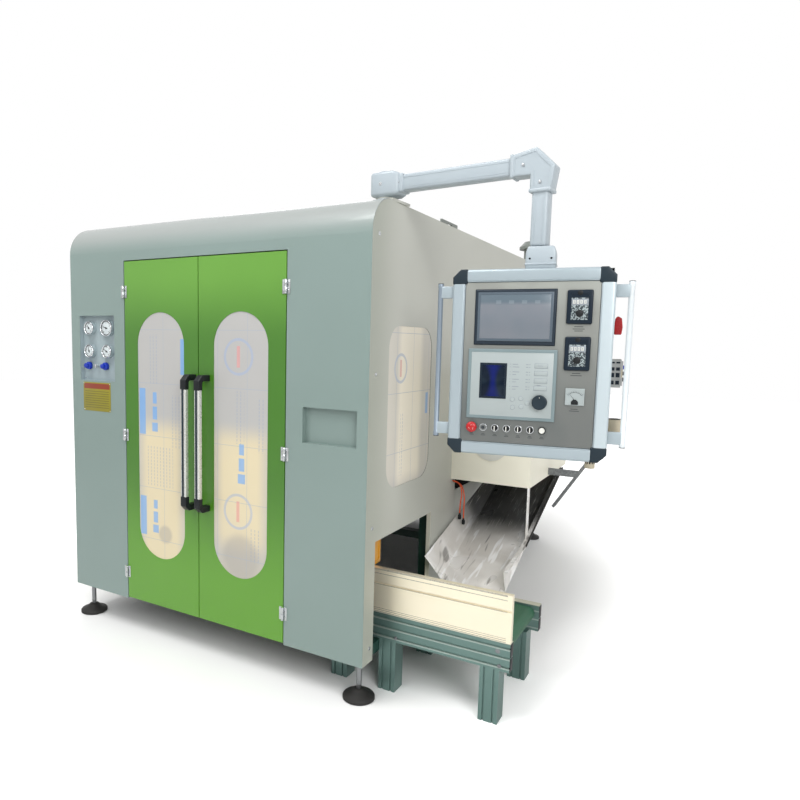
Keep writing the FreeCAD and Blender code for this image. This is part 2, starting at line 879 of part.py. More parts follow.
def make_base_frame():
    left = left_side + S.frame_inset
    right = -S.frame_inset
    rear = inside_back - S.beam_wide
    rows = (S.row_front, S.row_mould, S.row_extruder, rear)
    sides = ((left, left + S.beam_wide), (right - S.beam_wide, right))
    beams = []
    for first, last in sides:
        for top in (S.floor_gap + S.beam_high, S.ring_top):
            beams.append(box((first, S.row_front, top - S.beam_high), (last, inside_back, top)))
        beams.append(box((first, S.row_mould, S.bed_top - S.beam_high), (last, rear, S.bed_top)))
        for row in rows:
            beams.append(box((first, row, S.floor_gap), (last, row + S.beam_wide, S.ring_top)))
    for row in rows:
        beams.append(box((left, row, S.ring_top - S.beam_high), (right, row + S.beam_wide, S.ring_top)))
        beams.append(box((left, row, S.floor_gap), (right, row + S.beam_wide, S.floor_gap + S.beam_high)))
    deck_low = S.deck_top - S.beam_high
    for row in rows[1:]:
        beams.append(box((left, row, deck_low - S.beam_high), (right, row + S.beam_wide, deck_low)))
    for side in (-1, 1):
        middle = -S.screw_axis_x + side * S.deck_gauge / 2
        beams.append(box((middle - S.beam_wide / 2, S.row_mould, deck_low),
                         (middle + S.beam_wide / 2, inside_back, S.deck_top)))
    for side in (-1, 1):
        middle = S.head_y + side * (S.platen_depth / 2 - S.beam_wide / 2)
        beams.append(box((left, middle - S.beam_wide / 2, S.bed_top - S.beam_high),
                         (right, middle + S.beam_wide / 2, S.bed_top)))
    half = S.arm_base_plate / 2
    beams.append(box((-S.arm_pivot_x - half, S.arm_pivot_y - half, S.ring_top - S.beam_high),
                     (-S.frame_inset, S.arm_pivot_y + half, roof_under)))
    return fuse(beams + make_clips(sides, rows))


def make_clips(sides, rows):
    """Blocks between the frame and the sheets, which the sheets are fixed to."""
    blocks = []
    for (first, last), outer in zip(sides, ((inside_left, 0), (0, inside_right))):
        low_x, high_x = (outer[0], first) if outer[0] is inside_left else (last, outer[1])
        for row in rows:
            for low in (S.floor_gap + 3 * S.clip, S.bed_top + 8 * S.clip, S.ring_top - 4 * S.clip):
                blocks.append(box((low_x, row + S.clip / 4, low),
                                  (high_x, row + 5 * S.clip / 4, low + S.clip)))
                if row is rows[0]:
                    blocks.append(box((first, S.sheet, low), (last, row, low + S.clip)))
            if row is not rows[0]:
                blocks.append(box((first, row, S.ring_top), (last, row + S.beam_wide, roof_under)))
    return blocks


def make_feet():
    feet = []
    for x in (left_side + S.foot_inset, -S.foot_inset):
        for y in (S.foot_front, S.body_depth - S.foot_front):
            pad_solid = rod((x, y, 0), S.foot_pad, S.foot_radius)
            top = cone((x, y, S.foot_pad), S.foot_cone, S.foot_radius * 0.9, S.foot_rod_radius * 1.6)
            stem = rod((x, y, S.foot_pad), S.floor_gap - S.foot_pad, S.foot_rod_radius)
            nut = rod((x, y, S.floor_gap - S.foot_nut), S.foot_nut, S.foot_nut_radius)
            feet.append(fuse([pad_solid, top, stem, nut]))
    return feet


def make_gauge_plate():
    """Tray behind the cut-out with four gauges and two regulators on it."""
    back = S.gauge_setback + S.sheet
    rim = S.sheet
    tray = cut(
        box((-S.gauge_left - rim, S.sheet, S.gauge_bottom - rim),
            (-S.gauge_right + rim, back, S.gauge_top + rim)),
        [box((-S.gauge_left, 0, S.gauge_bottom), (-S.gauge_right, S.gauge_setback, S.gauge_top))])
    middle = -(S.gauge_left + S.gauge_right) / 2
    front = S.gauge_setback - S.gauge_length
    solids = [tray]
    for side in (-1, 1):
        for height in (S.gauge_row_low, S.gauge_row_top):
            large = side == 1 and height is S.gauge_row_top
            radius = S.gauge_radius_large if large else S.gauge_radius
            spot = (middle + side * S.gauge_pitch / 2, front, height)
            dial = rod(spot, S.sheet, radius - 2 * S.sheet, "y")
            solids.append(cut(rod(spot, S.gauge_length, radius, "y"), [dial]))
    for x in (-S.regulator_left, -S.regulator_right):
        spot = (x, S.gauge_setback - S.regulator_collar_length, S.regulator_row)
        collar = rod(spot, S.regulator_collar_length, S.regulator_collar, "y")
        solids.append(cut(collar, [rod(spot, S.regulator_collar_length, S.stem_radius + S.button_play, "y")]))
    mid_x = -(S.regulator_left + S.regulator_right) / 2
    solids.append(rod((mid_x, 0, S.regulator_row), S.gauge_setback, S.stem_radius + S.sheet, "y"))
    return fuse(solids)


def make_regulator_knob(x):
    length = S.knob_length
    knob = turned("KnobBody", [(0, 0), (S.knob_nose_radius, 0), (S.knob_base_radius, length / 3),
                               (S.knob_base_radius, length), (S.stem_radius, length),
                               (S.stem_radius, length + S.regulator_collar_length), (0, length +
                               S.regulator_collar_length)])
    return moved(knob, (x, S.gauge_setback - S.regulator_collar_length - length, S.regulator_row))


# ---------------------------------------------------------------- doors

def door_span(side):
    """Left edge, right edge and hinge axis of a door; side is -1 for the left one."""
    if side < 0:
        return -S.door_left_edge, -S.door_meeting - S.door_gap / 2, -S.door_left_edge - S.door_gap / 2
    return -S.door_meeting + S.door_gap / 2, -S.door_right_edge, -S.door_right_edge + S.door_gap / 2


def make_door(side):
    left, right, axis_x = door_span(side)
    middle = (left + right) / 2
    body = new_body("DoorSkin")
    sketch = plane_sketch(body, "xz")
    outline(sketch, [(left, S.door_bottom), (right, S.door_bottom), (right, S.door_top), (left, S.door_top)])
    radius = S.door_window_width / 2
    slot(sketch, [(middle, S.door_window_bottom + radius), (middle, S.door_window_top - radius)], radius)
    pad(body, sketch, S.sheet, backwards=True)
    fold = cut(box((left, S.sheet, S.door_bottom), (right, S.door_depth, S.door_top)),
               [box((left + S.sheet, 0, S.door_bottom + S.sheet),
                    (right - S.sheet, S.door_depth + S.sheet, S.door_top - S.sheet))])
    return fuse([body, fold] + hinge_leaves(axis_x, -side, 1))


def make_door_window(side):
    left, right, _ = door_span(side)
    middle = (left + right) / 2
    body = new_body("DoorPane")
    sketch = plane_sketch(body, "xz", -S.sheet)
    inner = S.door_window_width / 2
    slot(sketch, [(middle, S.door_window_bottom + inner), (middle, S.door_window_top - inner)],
         inner + S.pane_lap)
    pad(body, sketch, S.pane, backwards=True)
    return body


def make_door_handle(x):
    """Upright bar between two elbows, standing off the door."""
    reach = -S.handle_reach
    bar_back = reach + S.handle_bar_depth
    radius = S.handle_bar_depth / 2
    bar = new_body("HandleBar")
    sketch = plane_sketch(bar, "xy", S.handle_bottom + S.handle_end)
    half = S.handle_bar_width / 2 - radius
    slot(sketch, [(x - half, reach + radius), (x + half, reach + radius)], radius, upright=False)
    pad(bar, sketch, S.handle_top - S.handle_bottom - 2 * S.handle_end)
    ends = [bar]
    for tip, away in ((S.handle_top, -1), (S.handle_bottom, 1)):
        inner = tip + away * S.handle_foot
        elbow = new_body("HandleEnd")
        sketch = plane_sketch(elbow, "yz", x - S.handle_bar_width / 2)
        outline(sketch, [
            (0, inner), (0, tip), (reach, tip, S.handle_round), (reach, tip + away * S.handle_end),
            (bar_back, tip + away * S.handle_end), (bar_back, inner, S.handle_round / 3)])
        pad(elbow, sketch, S.handle_bar_width)
        ends.append(elbow)
    return ends


# ---------------------------------------------------------------- conveyor

belt_front = S.conveyor_front + S.rail_thick + S.belt_side_gap
belt_back = S.conveyor_back - S.rail_thick - S.belt_side_gap
roller_left = -S.conveyor_start + S.roller_inset
roller_right = S.conveyor_end - S.roller_inset


def make_conveyor_frame():
    start = -S.conveyor_start
    end = S.conveyor_end
    front = S.conveyor_front
    back = S.conveyor_back
    inner_front = front + S.rail_thick
    inner_back = back - S.rail_thick
    rails = []
    for near, far, groove in ((front, inner_front, front), (inner_back, back, back - S.slot_depth)):
        rail = box((start, near, S.rail_bottom), (end, far, S.rail_top))
        tools = []
        for count in range(3):
            middle = S.rail_top - S.slot_pitch / 2 - count * S.slot_pitch
            tools.append(box((start, groove, middle - S.slot_width / 2),
                             (end, groove + S.slot_depth, middle + S.slot_width / 2)))
        for x in (roller_left, roller_right):
            tools.append(rod((x, near, S.roller_height), S.rail_thick, S.shaft_radius + S.shaft_play, "y"))
        rails.append(cut(rail, tools))
    guard = box((start, front, S.rail_top), (end, front + S.guard_thick, S.guard_top))
    groove = box((start, front, S.guard_slot_height - S.slot_width / 2),
                 (end, front + S.slot_depth, S.guard_slot_height + S.slot_width / 2))
    solids = rails + [cut(guard, [groove])]
    half = S.cross_member / 2
    for x in (start / 2, S.leg_near, end / 2 + half, end - 3 * S.roller_inset):
        solids.append(box((x - half, inner_front, S.roller_height - half),
                          (x + half, inner_back, S.roller_height + half)))
    solids.append(box((roller_left + S.roller_inset, belt_front, S.roller_height + half),
                      (roller_right - S.roller_inset, belt_back, S.roller_height + S.roller_radius)))
    for x in (start + S.leg_width / 2, S.leg_near, S.leg_far):
        for near in (front, back - S.leg_width):
            solids.append(make_leg(x, near))
    return fuse(solids)


def make_leg(x, near):
    half = S.leg_width / 2
    leg = box((x - half, near, 0), (x + half, near + S.leg_width, S.rail_bottom))
    tools = []
    for side in (-1, 1):
        middle = x + side * S.leg_width / 4
        for groove in (near, near + S.leg_width - S.slot_depth):
            tools.append(box((middle - S.slot_width / 2, groove, 0),
                             (middle + S.slot_width / 2, groove + S.slot_depth, S.rail_bottom)))
    return cut(leg, tools)


def make_belt():
    body = new_body("BeltLoop")
    sketch = plane_sketch(body, "xz", -belt_front)
    middles = [(roller_left, S.roller_height), (roller_right, S.roller_height)]
    inner = S.roller_radius + S.clearance
    slot(sketch, middles, inner + S.belt, upright=False)
    slot(sketch, middles, inner, upright=False)
    pad(body, sketch, belt_back - belt_front, backwards=True)
    return body


def make_roller(x):
    start = S.conveyor_front + 1
    end = S.conveyor_back - 1
    r = S.roller_radius
    s = S.shaft_radius
    roller = turned("RollerBody", [(0, start), (s, start), (s, belt_front), (r, belt_front), (r, belt_back),
                                   (s, belt_back), (s, end), (0, end)])
    return moved(roller, (x, 0, S.roller_height))


def make_conveyor_gearmotor():
    front = S.conveyor_front
    left = -S.drive_left
    gearbox = box((left, front, S.guard_top), (-S.drive_right, front + S.drive_depth, S.drive_top))
    middle = (left - S.drive_motor_length, front + S.drive_depth / 2, (S.guard_top + S.drive_top) / 2)
    motor = rod(middle, S.drive_motor_length, S.drive_motor_radius, "x")
    case = box((roller_left - S.roller_inset / 2, front - S.chain_case, S.roller_height - S.roller_radius),
               (roller_left + S.roller_inset / 2, front, S.guard_top + S.roller_inset))
    arm = box((roller_left - S.roller_inset / 2, front - S.chain_case, S.guard_top),
              (-S.drive_right, front, S.guard_top + S.roller_inset))
    return fuse([gearbox, motor, case, arm])


# ---------------------------------------------------------------- chute and outlet hood

def tilted(solid, at, axis, angle):
    """Turn a solid about an axis through its own origin and put that origin at a place."""
    solid.Placement = FreeCAD.Placement(FreeCAD.Vector(), FreeCAD.Rotation(FreeCAD.Vector(*axis), 30))
    bind(solid, "Placement.Rotation.Angle", angle)
    return moved(solid, at)


def plate_body(name, plane, corners, start, thickness):
    """A flat plate: an outline on a plane, starting at a distance along the plane's axis."""
    body = new_body(name)
    if plane == "xz":
        sketch = plane_sketch(body, plane, -size(start))
        outline(sketch, corners)
        pad(body, sketch, thickness, backwards=True)
    else:
        sketch = plane_sketch(body, plane, start)
        outline(sketch, corners)
        pad(body, sketch, thickness)
    return body


def make_chute():
    s = S.sheet
    length = S.chute_length
    floor = box((S.chute_left, 0, 0), (S.chute_right, length, s))
    top_left = S.chute_left - S.chute_flare
    left = plate_body("ChuteLeft", "xz", [
        (S.chute_left, 0), (S.chute_left + s, 0),
        (top_left + s, S.chute_wall), (top_left, S.chute_wall)], 0, length)
    waste = plate_body("ChuteWaste", "yz", [
        (-s, S.chute_wall), (length + s, S.chute_left_far),
        (length + s, S.chute_wall + s), (-s, S.chute_wall + s)],
        top_left - s, S.chute_flare + 3 * s)
    profile = [(0, 0), (length, 0), (length, S.chute_right_far), (S.chute_knee, S.chute_knee_wall),
               (0, S.chute_wall)]
    right = plate_body("ChuteRight", "yz", profile, S.chute_right - s, s)
    lip = plate_body("ChuteLip", "yz", [
        (0, S.chute_wall - s), (S.chute_knee, S.chute_knee_wall - s), (length, S.chute_right_far - s),
        (length, S.chute_right_far), (S.chute_knee, S.chute_knee_wall), (0, S.chute_wall)],
        S.chute_right - s, S.chute_lip)
    trough = fuse([floor, cut(left, [waste]), right, lip])
    tilted(trough, (0, S.chute_low_y, S.chute_low_z), (1, 0, 0), S.chute_angle)
    foot_y = S.chute_low_y + 3 * s
    rise = sine(S.chute_angle) / cosine(S.chute_angle)
    foot_top = S.chute_low_z + (foot_y - S.chute_low_y) * rise + s
    foot = [
        box((S.chute_foot_left, foot_y, S.rail_top), (S.chute_foot_right, foot_y + 2 * s, foot_top)),
        box((S.chute_foot_left, foot_y, S.rail_top),
            (S.chute_foot_right, S.conveyor_back, S.rail_top + 2 * s)),
    ]
    bracket_top = S.chute_low_z + (S.chute_bracket_y - S.chute_low_y) * rise + s
    bracket = box((0, S.chute_bracket_y, bracket_top - S.chute_wall / 2),
                  (S.chute_left + S.chute_wall / 2, S.chute_bracket_y + 2 * s, bracket_top))
    post_rise = (S.hood_front - S.chute_low_y) * sine(S.chute_angle) + S.chute_knee_wall - s
    post_foot = S.chute_low_z + post_rise / cosine(S.chute_angle)
    post = box((S.hood_width - S.post, S.hood_front, post_foot),
               (S.hood_width, S.hood_front + S.post, S.hood_bottom))
    return fuse([trough] + foot + [bracket, post])


def make_outlet_hood():
    s = S.sheet
    hood = cut(box((0, S.hood_front, S.hood_bottom), (S.hood_width, S.hood_back, S.hood_top)),
               [box((-s, S.hood_front + s, S.hood_bottom - s),
                    (S.hood_width - s, S.hood_back - s, S.hood_top - s))])
    disc = rod((S.hood_width / 2, S.hood_front - S.hood_disc, S.hood_disc_height), S.hood_disc,
               S.hood_disc_radius, "y")
    return [fuse([hood, disc]), make_cable_tray()]


def make_cable_tray():
    """Perforated channel that climbs past the hood, with the plate that holds it."""
    s = S.sheet
    tray = cut(box((0, 0, 0), (S.tray_length, S.tray_width, S.tray_rim)),
               [box((-s, s, s), (S.tray_length + s, S.tray_width - s, S.tray_rim + s))])
    holes = []
    for column in range(11):
        for row in range(3):
            low = (S.tray_rim + column * S.tray_hole_pitch, S.tray_width * (row + 1) / 4 - S.tray_hole / 2,
                   -s)
            high = (low[0] + 2 * S.tray_hole, low[1] + S.tray_hole, 2 * s)
            holes.append(box(low, high))
    tray = cut(tray, holes)
    tilted(tray, (S.tray_x, S.tray_y, S.tray_z), (0, -1, 0), S.tray_angle)
    slope = sine(S.tray_angle) / cosine(S.tray_angle)
    foot_low = S.tray_x + (S.tray_bracket_low - S.tray_z) / slope - S.tray_rim / 2
    foot_high = S.tray_x + (S.tray_bracket_high - S.tray_z) / slope - S.tray_rim / 2
    plate = plate_body("TrayBracket", "xz", [
        (S.hood_width, S.tray_bracket_low), (foot_low, S.tray_bracket_low), (foot_high, S.tray_bracket_high),
        (S.hood_width, S.tray_bracket_high)], S.tray_y, s)
    return fuse([tray, plate])


def cable_route(points, radius):
    """A round cable along straight runs joined by tangent arcs."""
    spots = [FreeCAD.Vector(*[size(number).number for number in point]) for point in points]
    curves = []
    last = spots[0]
    for before, corner, after in zip(spots, spots[1:], spots[2:]):
        reach = 0.45 * min((before - corner).Length, (after - corner).Length)
        back = (before - corner).normalize()
        ahead = (after - corner).normalize()
        half = back.getAngle(ahead) / 2
        bisector = (back + ahead).normalize()
        bend = reach * math.tan(half)
        start = corner + back * reach
        end = corner + ahead * reach
        middle = corner + bisector * (reach / math.cos(half) - bend)
        print(f"cable bend radius {bend:.1f}")
        curves.append(Part.LineSegment(last, start))
        curves.append(Part.Arc(start, middle, end))
        last = end
    curves.append(Part.LineSegment(last, spots[-1]))
    wire = Part.Wire([curve.toShape() for curve in curves])
    ring = Part.Wire([Part.makeCircle(radius.number, spots[0], spots[1] - spots[0])])
    shape = wire.makePipeShell([ring], True, False)
    length = sum(curve.length() for curve in curves)
    expected = math.pi * radius.number ** 2 * length
    print(f"cable length {length:.0f}, volume {shape.Volume:.0f} of {expected:.0f}")
    cable = doc.addObject("Part::Feature", "Cable")
    cable.Shape = shape
    return cable


# Offsets of each route's corners from the point where the cable leaves the cabinet
LONG_RUNS = [(0, 0, 0), (38, 0, 0), (60, -7, -61), (52, -15, -116)]
SHORT_RUNS = [(0, 0, 0), (42, 0, 0), (68, -9, -60), (70, -18, -124)]
SHORT_SHIFT = (0, 14, -8)


def cable_points(runs, shift, end_height):
    points = [(x + shift[0], S.cable_start_y + y + shift[1], S.cable_start_z + z + shift[2]) for x, y,
              z in runs]
    return points + [(points[-1][0], points[-1][1], end_height)]


def make_plug(points):
    x, y, top = points[-1]
    low = top - S.plug_length
    collar = rod((x, y, low), S.plug_length, S.plug_radius)
    return cut(collar, [rod((x, y, low), S.plug_length / 3, S.plug_radius - S.sheet)])


# ---------------------------------------------------------------- swing arm, in axes around its pivot

def make_arm_base():
    half = S.arm_base_plate / 2
    play = S.button_play
    plate = box((-half, -half, S.body_top), (half, half, S.body_top + S.arm_base_thick))
    neck_low = S.body_top + S.arm_base_thick
    neck = rod((0, 0, neck_low), S.arm_head_bottom - neck_low, S.arm_neck_radius)
    spigot = rod((0, 0, S.arm_head_bottom), S.arm_shaft_length, S.arm_shaft_radius - play)
    return fuse([plate, neck, spigot])


def make_arm_head():
    half = S.arm_head_width / 2
    block = box((-half, -half, S.arm_head_bottom), (half, half, S.arm_head_bottom + S.arm_head_height))
    return cut(block, [rod((0, 0, S.arm_head_bottom), S.arm_shaft_length + 1, S.arm_shaft_radius)])


def make_arm_tubes():
    half = S.arm_tube_width / 2
    wall = S.arm_wall
    start = S.arm_head_width / 2
    end = S.arm_reach - S.elbow_back
    top = S.arm_tube_bottom + S.arm_tube_height
    beam = cut(box((start, -half, S.arm_tube_bottom), (end, half, top)),
               [box((start, -half + wall, S.arm_tube_bottom + wall), (end, half - wall, top - wall))])
    axis = S.arm_reach
    plug_top = S.coupling_top + S.spigot_length
    post = cut(box((axis - half, -half, S.coupling_top), (axis + half, half, S.elbow_bottom)),
               [box((axis - half + wall, -half + wall, plug_top + wall), (axis + half - wall, half - wall,
                                                                         S.elbow_bottom)),
                rod((axis, 0, S.coupling_top), S.spigot_length + 1, S.spigot_radius)])
    return [beam, post]


def make_arm_elbow():
    axis = S.arm_reach
    low = S.arm_tube_bottom - S.elbow_lip
    half = S.arm_tube_width / 2 + S.elbow_lip
    return plate_body("ElbowCasting", "xz", [
        (axis - S.elbow_back, low), (axis - S.elbow_half, low), (axis - S.elbow_half, S.elbow_bottom),
        (axis + S.elbow_half, S.elbow_bottom), (axis + S.elbow_shoulder, S.elbow_shoulder_height),
        (axis - S.elbow_crest, S.elbow_top),
        (axis - S.elbow_back, S.arm_tube_bottom + S.arm_tube_height + S.elbow_lip)], -half, 2 * half)


# ---------------------------------------------------------------- control panel, in axes around its swivel

panel_top = S.panel_bottom + S.panel_height
panel_left = -S.panel_offset - S.panel_width / 2
panel_right = -S.panel_offset + S.panel_width / 2
frame_back = -S.panel_front + S.frame_depth
face_front = -S.panel_front + S.face_setback
rear_back = frame_back + S.rear_depth
rear_side = panel_right - S.rear_inset


def face_spot(across, up):
    """A place on the panel's face, from its middle line and its lower edge."""
    return across - S.panel_offset, S.panel_bottom + up


def face_block(across, up, width, height, front, back):
    """A block on the panel's face around a middle, between two depths in front of the face."""
    x, z = face_spot(size(across), size(up))
    return box((x - width / 2, face_front - front, z - height / 2),
               (x + width / 2, face_front - back, z + height / 2))


def face_rod(across, up, radius, front, back):
    x, z = face_spot(size(across), size(up))
    return rod((x, face_front - front, z), size(front) - back, radius, "y")


def make_panel_coupling():
    left = -S.coupling_left
    right = S.coupling_right
    deep = S.coupling_half_depth
    block = box((left, -deep, panel_top), (right, deep, S.coupling_top))
    flange = box((left, -S.panel_front, panel_top), (right, rear_back, panel_top + S.coupling_plate))
    spigot = rod((0, 0, S.coupling_top), S.spigot_length, S.spigot_radius - S.button_play)
    return fuse([block, flange, spigot])


def make_panel_frame():
    inset = S.cap_size
    bar = S.frame_bar
    bars = []
    for low in (S.panel_bottom, panel_top - bar):
        bars.append(box((panel_left + inset, -S.panel_front, low),
                        (panel_right - inset, frame_back, low + bar)))
    for left in (panel_left, panel_right - bar):
        bars.append(box((left, -S.panel_front, S.panel_bottom + inset),
                        (left + bar, frame_back, panel_top - inset)))
    return bars


def make_corner_caps():
    caps = []
    cut_back = S.cap_chamfer
    for x, dx in ((panel_left, 1), (panel_right, -1)):
        for z, dz in ((S.panel_bottom, 1), (panel_top, -1)):
            reach = S.cap_size
            caps.append(plate_body("CornerCap", "xz", [
                (x + dx * cut_back, z), (x + dx * reach, z), (x + dx * reach, z + dz * reach),
                (x, z + dz * reach), (x, z + dz * cut_back)], -S.panel_front, S.frame_depth))
    return caps


def row_places():
    """Places of the stop button, the lamp, the selector switches and the start button on their row."""
    return [S.stop_x,
            S.lamp_x] + [S.selector_first_x + count * S.selector_pitch for count in range(4)] + [S.start_x]


def make_panel_face():
    bar = S.frame_bar
    low = (panel_left + bar, face_front, S.panel_bottom + bar)
    high = (panel_right - bar, face_front + S.face_sheet, panel_top - bar)
    corner = S.cap_size - bar
    tools = []
    for x in (low[0], high[0] - corner):
        for z in (low[2], high[2] - corner):
            tools.append(box((x, face_front, z), (x + corner, high[1], z + corner)))
    rings = [face_rod(x, S.row_height, S.ring_radius, S.ring_depth, -S.face_sheet) for x in row_places()]
    bores = [face_rod(x, S.row_height, S.ring_bore, S.ring_depth + 1,
                      -S.face_sheet - 1) for x in row_places()]
    lamp = face_rod(S.lamp_x, S.row_height, S.ring_bore, S.lamp_depth, -S.face_sheet)
    return fuse([cut(fuse([cut(box(low, high), tools)] + rings), bores), lamp])


def make_rear_cover():
    wall = S.rear_sheet
    left = panel_left + S.rear_inset
    bottom = S.panel_bottom + S.rear_inset
    return cut(box((left, frame_back, bottom), (rear_side, rear_back, panel_top)),
               [box((left + wall, frame_back - wall, bottom + wall), (rear_side - wall, rear_back - wall,
                                                                     panel_top - wall))])


def make_touch_screen():
    frame = face_block(S.screen_x, S.screen_z, S.screen_width, S.screen_height, S.bezel, 0)
    margin = S.screen_margin
    view = face_block(S.screen_x, S.screen_z, S.screen_width - 2 * margin,
                      S.screen_height - 2 * margin - S.bezel,
                      S.bezel, S.bezel - S.recess)
    return cut(frame, [view])


def make_parison_controller():
    """Programmer with a display, four keys beside it, five arrow keys and a bore for its knob."""
    front = face_block(S.controller_x, S.controller_z, S.controller_width, S.controller_height, S.bezel, 0)
    rim = S.controller_rim
    inner = face_block(S.controller_x, S.controller_z, S.controller_width - 2 * rim,
                       S.controller_height - 2 * rim,
                       S.bezel, S.bezel - S.recess)
    lcd = face_block(S.lcd_x, S.lcd_z, S.lcd_width, S.lcd_height, S.bezel, S.bezel - 2 * S.recess)
    bore = face_rod(S.encoder_x, S.encoder_z, S.stem_radius + S.button_play, S.bezel, 0)
    raised = S.bezel - S.recess
    keys = []
    for count in range(4):
        up = S.key_top_z - count * S.key_pitch
        keys.append(face_block(S.encoder_x, up, S.key_width, S.key_height, S.bezel, raised))
    for across, up in ((-48, 216), (-46.5, 186), (-17.5, 220), (-15.5, 190), (6, 203)):
        keys.append(face_block(across, up, S.arrow_key, S.arrow_key, S.bezel, raised))
    return fuse([cut(front, [inner, lcd, bore])] + keys)


def make_controller_knob():
    x, z = face_spot(S.encoder_x, S.encoder_z)
    depth = S.encoder_depth
    edge = S.sheet
    knob = turned("EncoderKnob", [(0, 0), (S.encoder_radius - edge, 0), (S.encoder_radius, edge),
                                  (S.encoder_radius, depth), (S.stem_radius, depth),
                                  (S.stem_radius, depth + S.bezel - S.recess), (0,
                                                                                depth + S.bezel - S.recess)])
    return moved(knob, (x, face_front - S.bezel + S.recess - depth, z))


def make_keypad(up, knob_up):
    depth = S.keypad_depth
    body = face_block(S.keypad_x, up, S.keypad_width, S.keypad_height, depth, 0)
    view = face_block(S.keypad_x, up + S.keypad_height / 3.4, S.keypad_width * 0.72, S.keypad_height * 0.22,
                      depth, depth - S.recess)
    knob = face_rod(S.keypad_x, knob_up, S.keypad_knob_radius, depth + S.keypad_knob_depth, depth)
    keys = []
    for column in range(3):
        for row in range(2):
            across = S.keypad_x + (column - 1) * S.keypad_width * 0.27
            key_up = up - S.keypad_height * (0.02 + 0.13 * row)
            keys.append(face_block(across, key_up, S.arrow_key, S.arrow_key / 1.6, depth + S.recess, depth))
    return fuse([cut(body, [view]), knob] + keys)


def make_panel_instruments():
    depth = S.keypad_depth / 2
    meter = cut(face_block(S.meter_x, S.meter_z, S.meter_width, S.meter_height, depth, 0),
                [face_block(S.meter_x, S.meter_z + 2 * S.recess, S.meter_width * 0.84, S.meter_height * 0.72,
                            depth, depth - S.recess)])
    return [make_keypad(S.keypad_upper_z, S.keypad_upper_knob_z),
            make_keypad(S.keypad_lower_z, S.keypad_lower_knob_z), meter]


def make_stop_button():
    gap = S.ring_depth + S.stop_travel + 1
    stem = S.ring_bore - S.button_play
    x, z = face_spot(S.stop_x, S.row_height)
    depth = S.stop_depth
    full = depth + gap + S.face_sheet + S.stem_depth
    head = turned("StopHead",
                  [(0, 0), (S.stop_radius * 0.7, 0), (S.stop_radius, depth / 3), (S.stop_radius, depth),
                               (stem, depth), (stem, full), (0, full)])
    return moved(head, (x, face_front - gap - depth, z))


def make_selector(index):
    across = S.selector_first_x + index * S.selector_pitch
    radius = S.ring_bore - S.button_play
    stem = face_rod(across, S.row_height, radius, S.ring_depth + S.sheet, -S.face_sheet - S.stem_depth)
    bar = face_block(across, S.row_height, S.switch_bar, 2 * radius - 1, S.ring_depth + S.switch_bar_depth,
                     S.ring_depth)
    return fuse([stem, bar])


def make_start_button():
    radius = S.ring_bore - S.button_play
    return face_rod(S.start_x, S.row_height, radius, S.ring_depth + S.start_depth,
                    -S.face_sheet - S.stem_depth)


def make_grab_handles():
    handles = []
    radius = S.grip_radius
    depth = -S.panel_front + S.frame_depth / 2
    half = S.bracket_depth / 2
    for side, edge in ((-1, panel_left), (1, panel_right)):
        x = -S.panel_offset + side * S.grip_offset
        low = S.panel_bottom + S.grip_bottom
        high = S.panel_bottom + S.grip_top
        parts = [rod((x, depth, low), high - low, radius)]
        first, last = (x, edge) if side < 0 else (edge, x)
        for bottom in (low + radius, high - radius - S.bracket_height):
            parts.append(box((first, depth - half, bottom), (last, depth + half, bottom + S.bracket_height)))
            parts.append(rod((x, depth, bottom), S.bracket_height, half))
        handles.append(fuse(parts))
    return handles


def make_side_fittings():
    """Breakers, the switch base and a buzzer on the panel's right side, and a cable gland below it."""
    side = rear_side
    mid = S.side_mid
    base = S.panel_bottom
    breaker = box((side, mid - S.breaker_width / 2, base + S.breaker_bottom),
                  (side + S.breaker_depth, mid + S.breaker_width / 2, base + S.breaker_top))
    toggles = []
    for count in range(3):
        y = mid + (count - 1) * S.breaker_width / 3
        z = base + (S.breaker_bottom + S.breaker_top) / 2
        toggles.append(box((side + S.breaker_depth, y - S.sheet * 2, z - S.toggle_height / 2),
                           (side + S.breaker_depth + S.sheet * 3, y + S.sheet * 2, z + S.toggle_height / 2)))
    switch = cut(rod((side, mid, base + S.lever_height), S.lever_base, S.lever_base_radius, "x"),
                 [rod((side, mid, base + S.lever_height), S.lever_base, S.stem_radius + S.button_play, "x")])
    middle = side + S.buzzer_radius + S.sheet * 3
    buzzer = rod((middle, mid, base + S.buzzer_bottom), S.buzzer_top - S.buzzer_bottom, S.buzzer_radius)
    mount = box((side, mid - S.buzzer_radius / 2, base + S.buzzer_bottom),
                (middle, mid + S.buzzer_radius / 2, base + S.buzzer_bottom + S.buzzer_radius))
    gland_top = base + S.rear_inset
    gland = rod((S.gland_x, S.gland_y, gland_top - S.gland_length), S.gland_length, S.gland_radius)
    return [fuse([breaker] + toggles), switch, fuse([buzzer, mount]), gland]


def make_switch_lever():
    start = rear_side
    z = S.panel_bottom + S.lever_height
    half = S.lever_length / 2
    wide = S.lever_width / 2
    stem = rod((start + S.sheet, S.side_mid, z), S.lever_base, S.stem_radius, "x")
    hub = rod((start + S.lever_base, S.side_mid, z), S.lever_depth / 2, S.lever_width, "x")
    bar = box((start + S.lever_base + S.sheet, S.side_mid - wide, z - half),
              (start + S.lever_base + S.lever_depth, S.side_mid + wide, z + half))
    return fuse([stem, hub, bar])


# ---------------------------------------------------------------- extruder

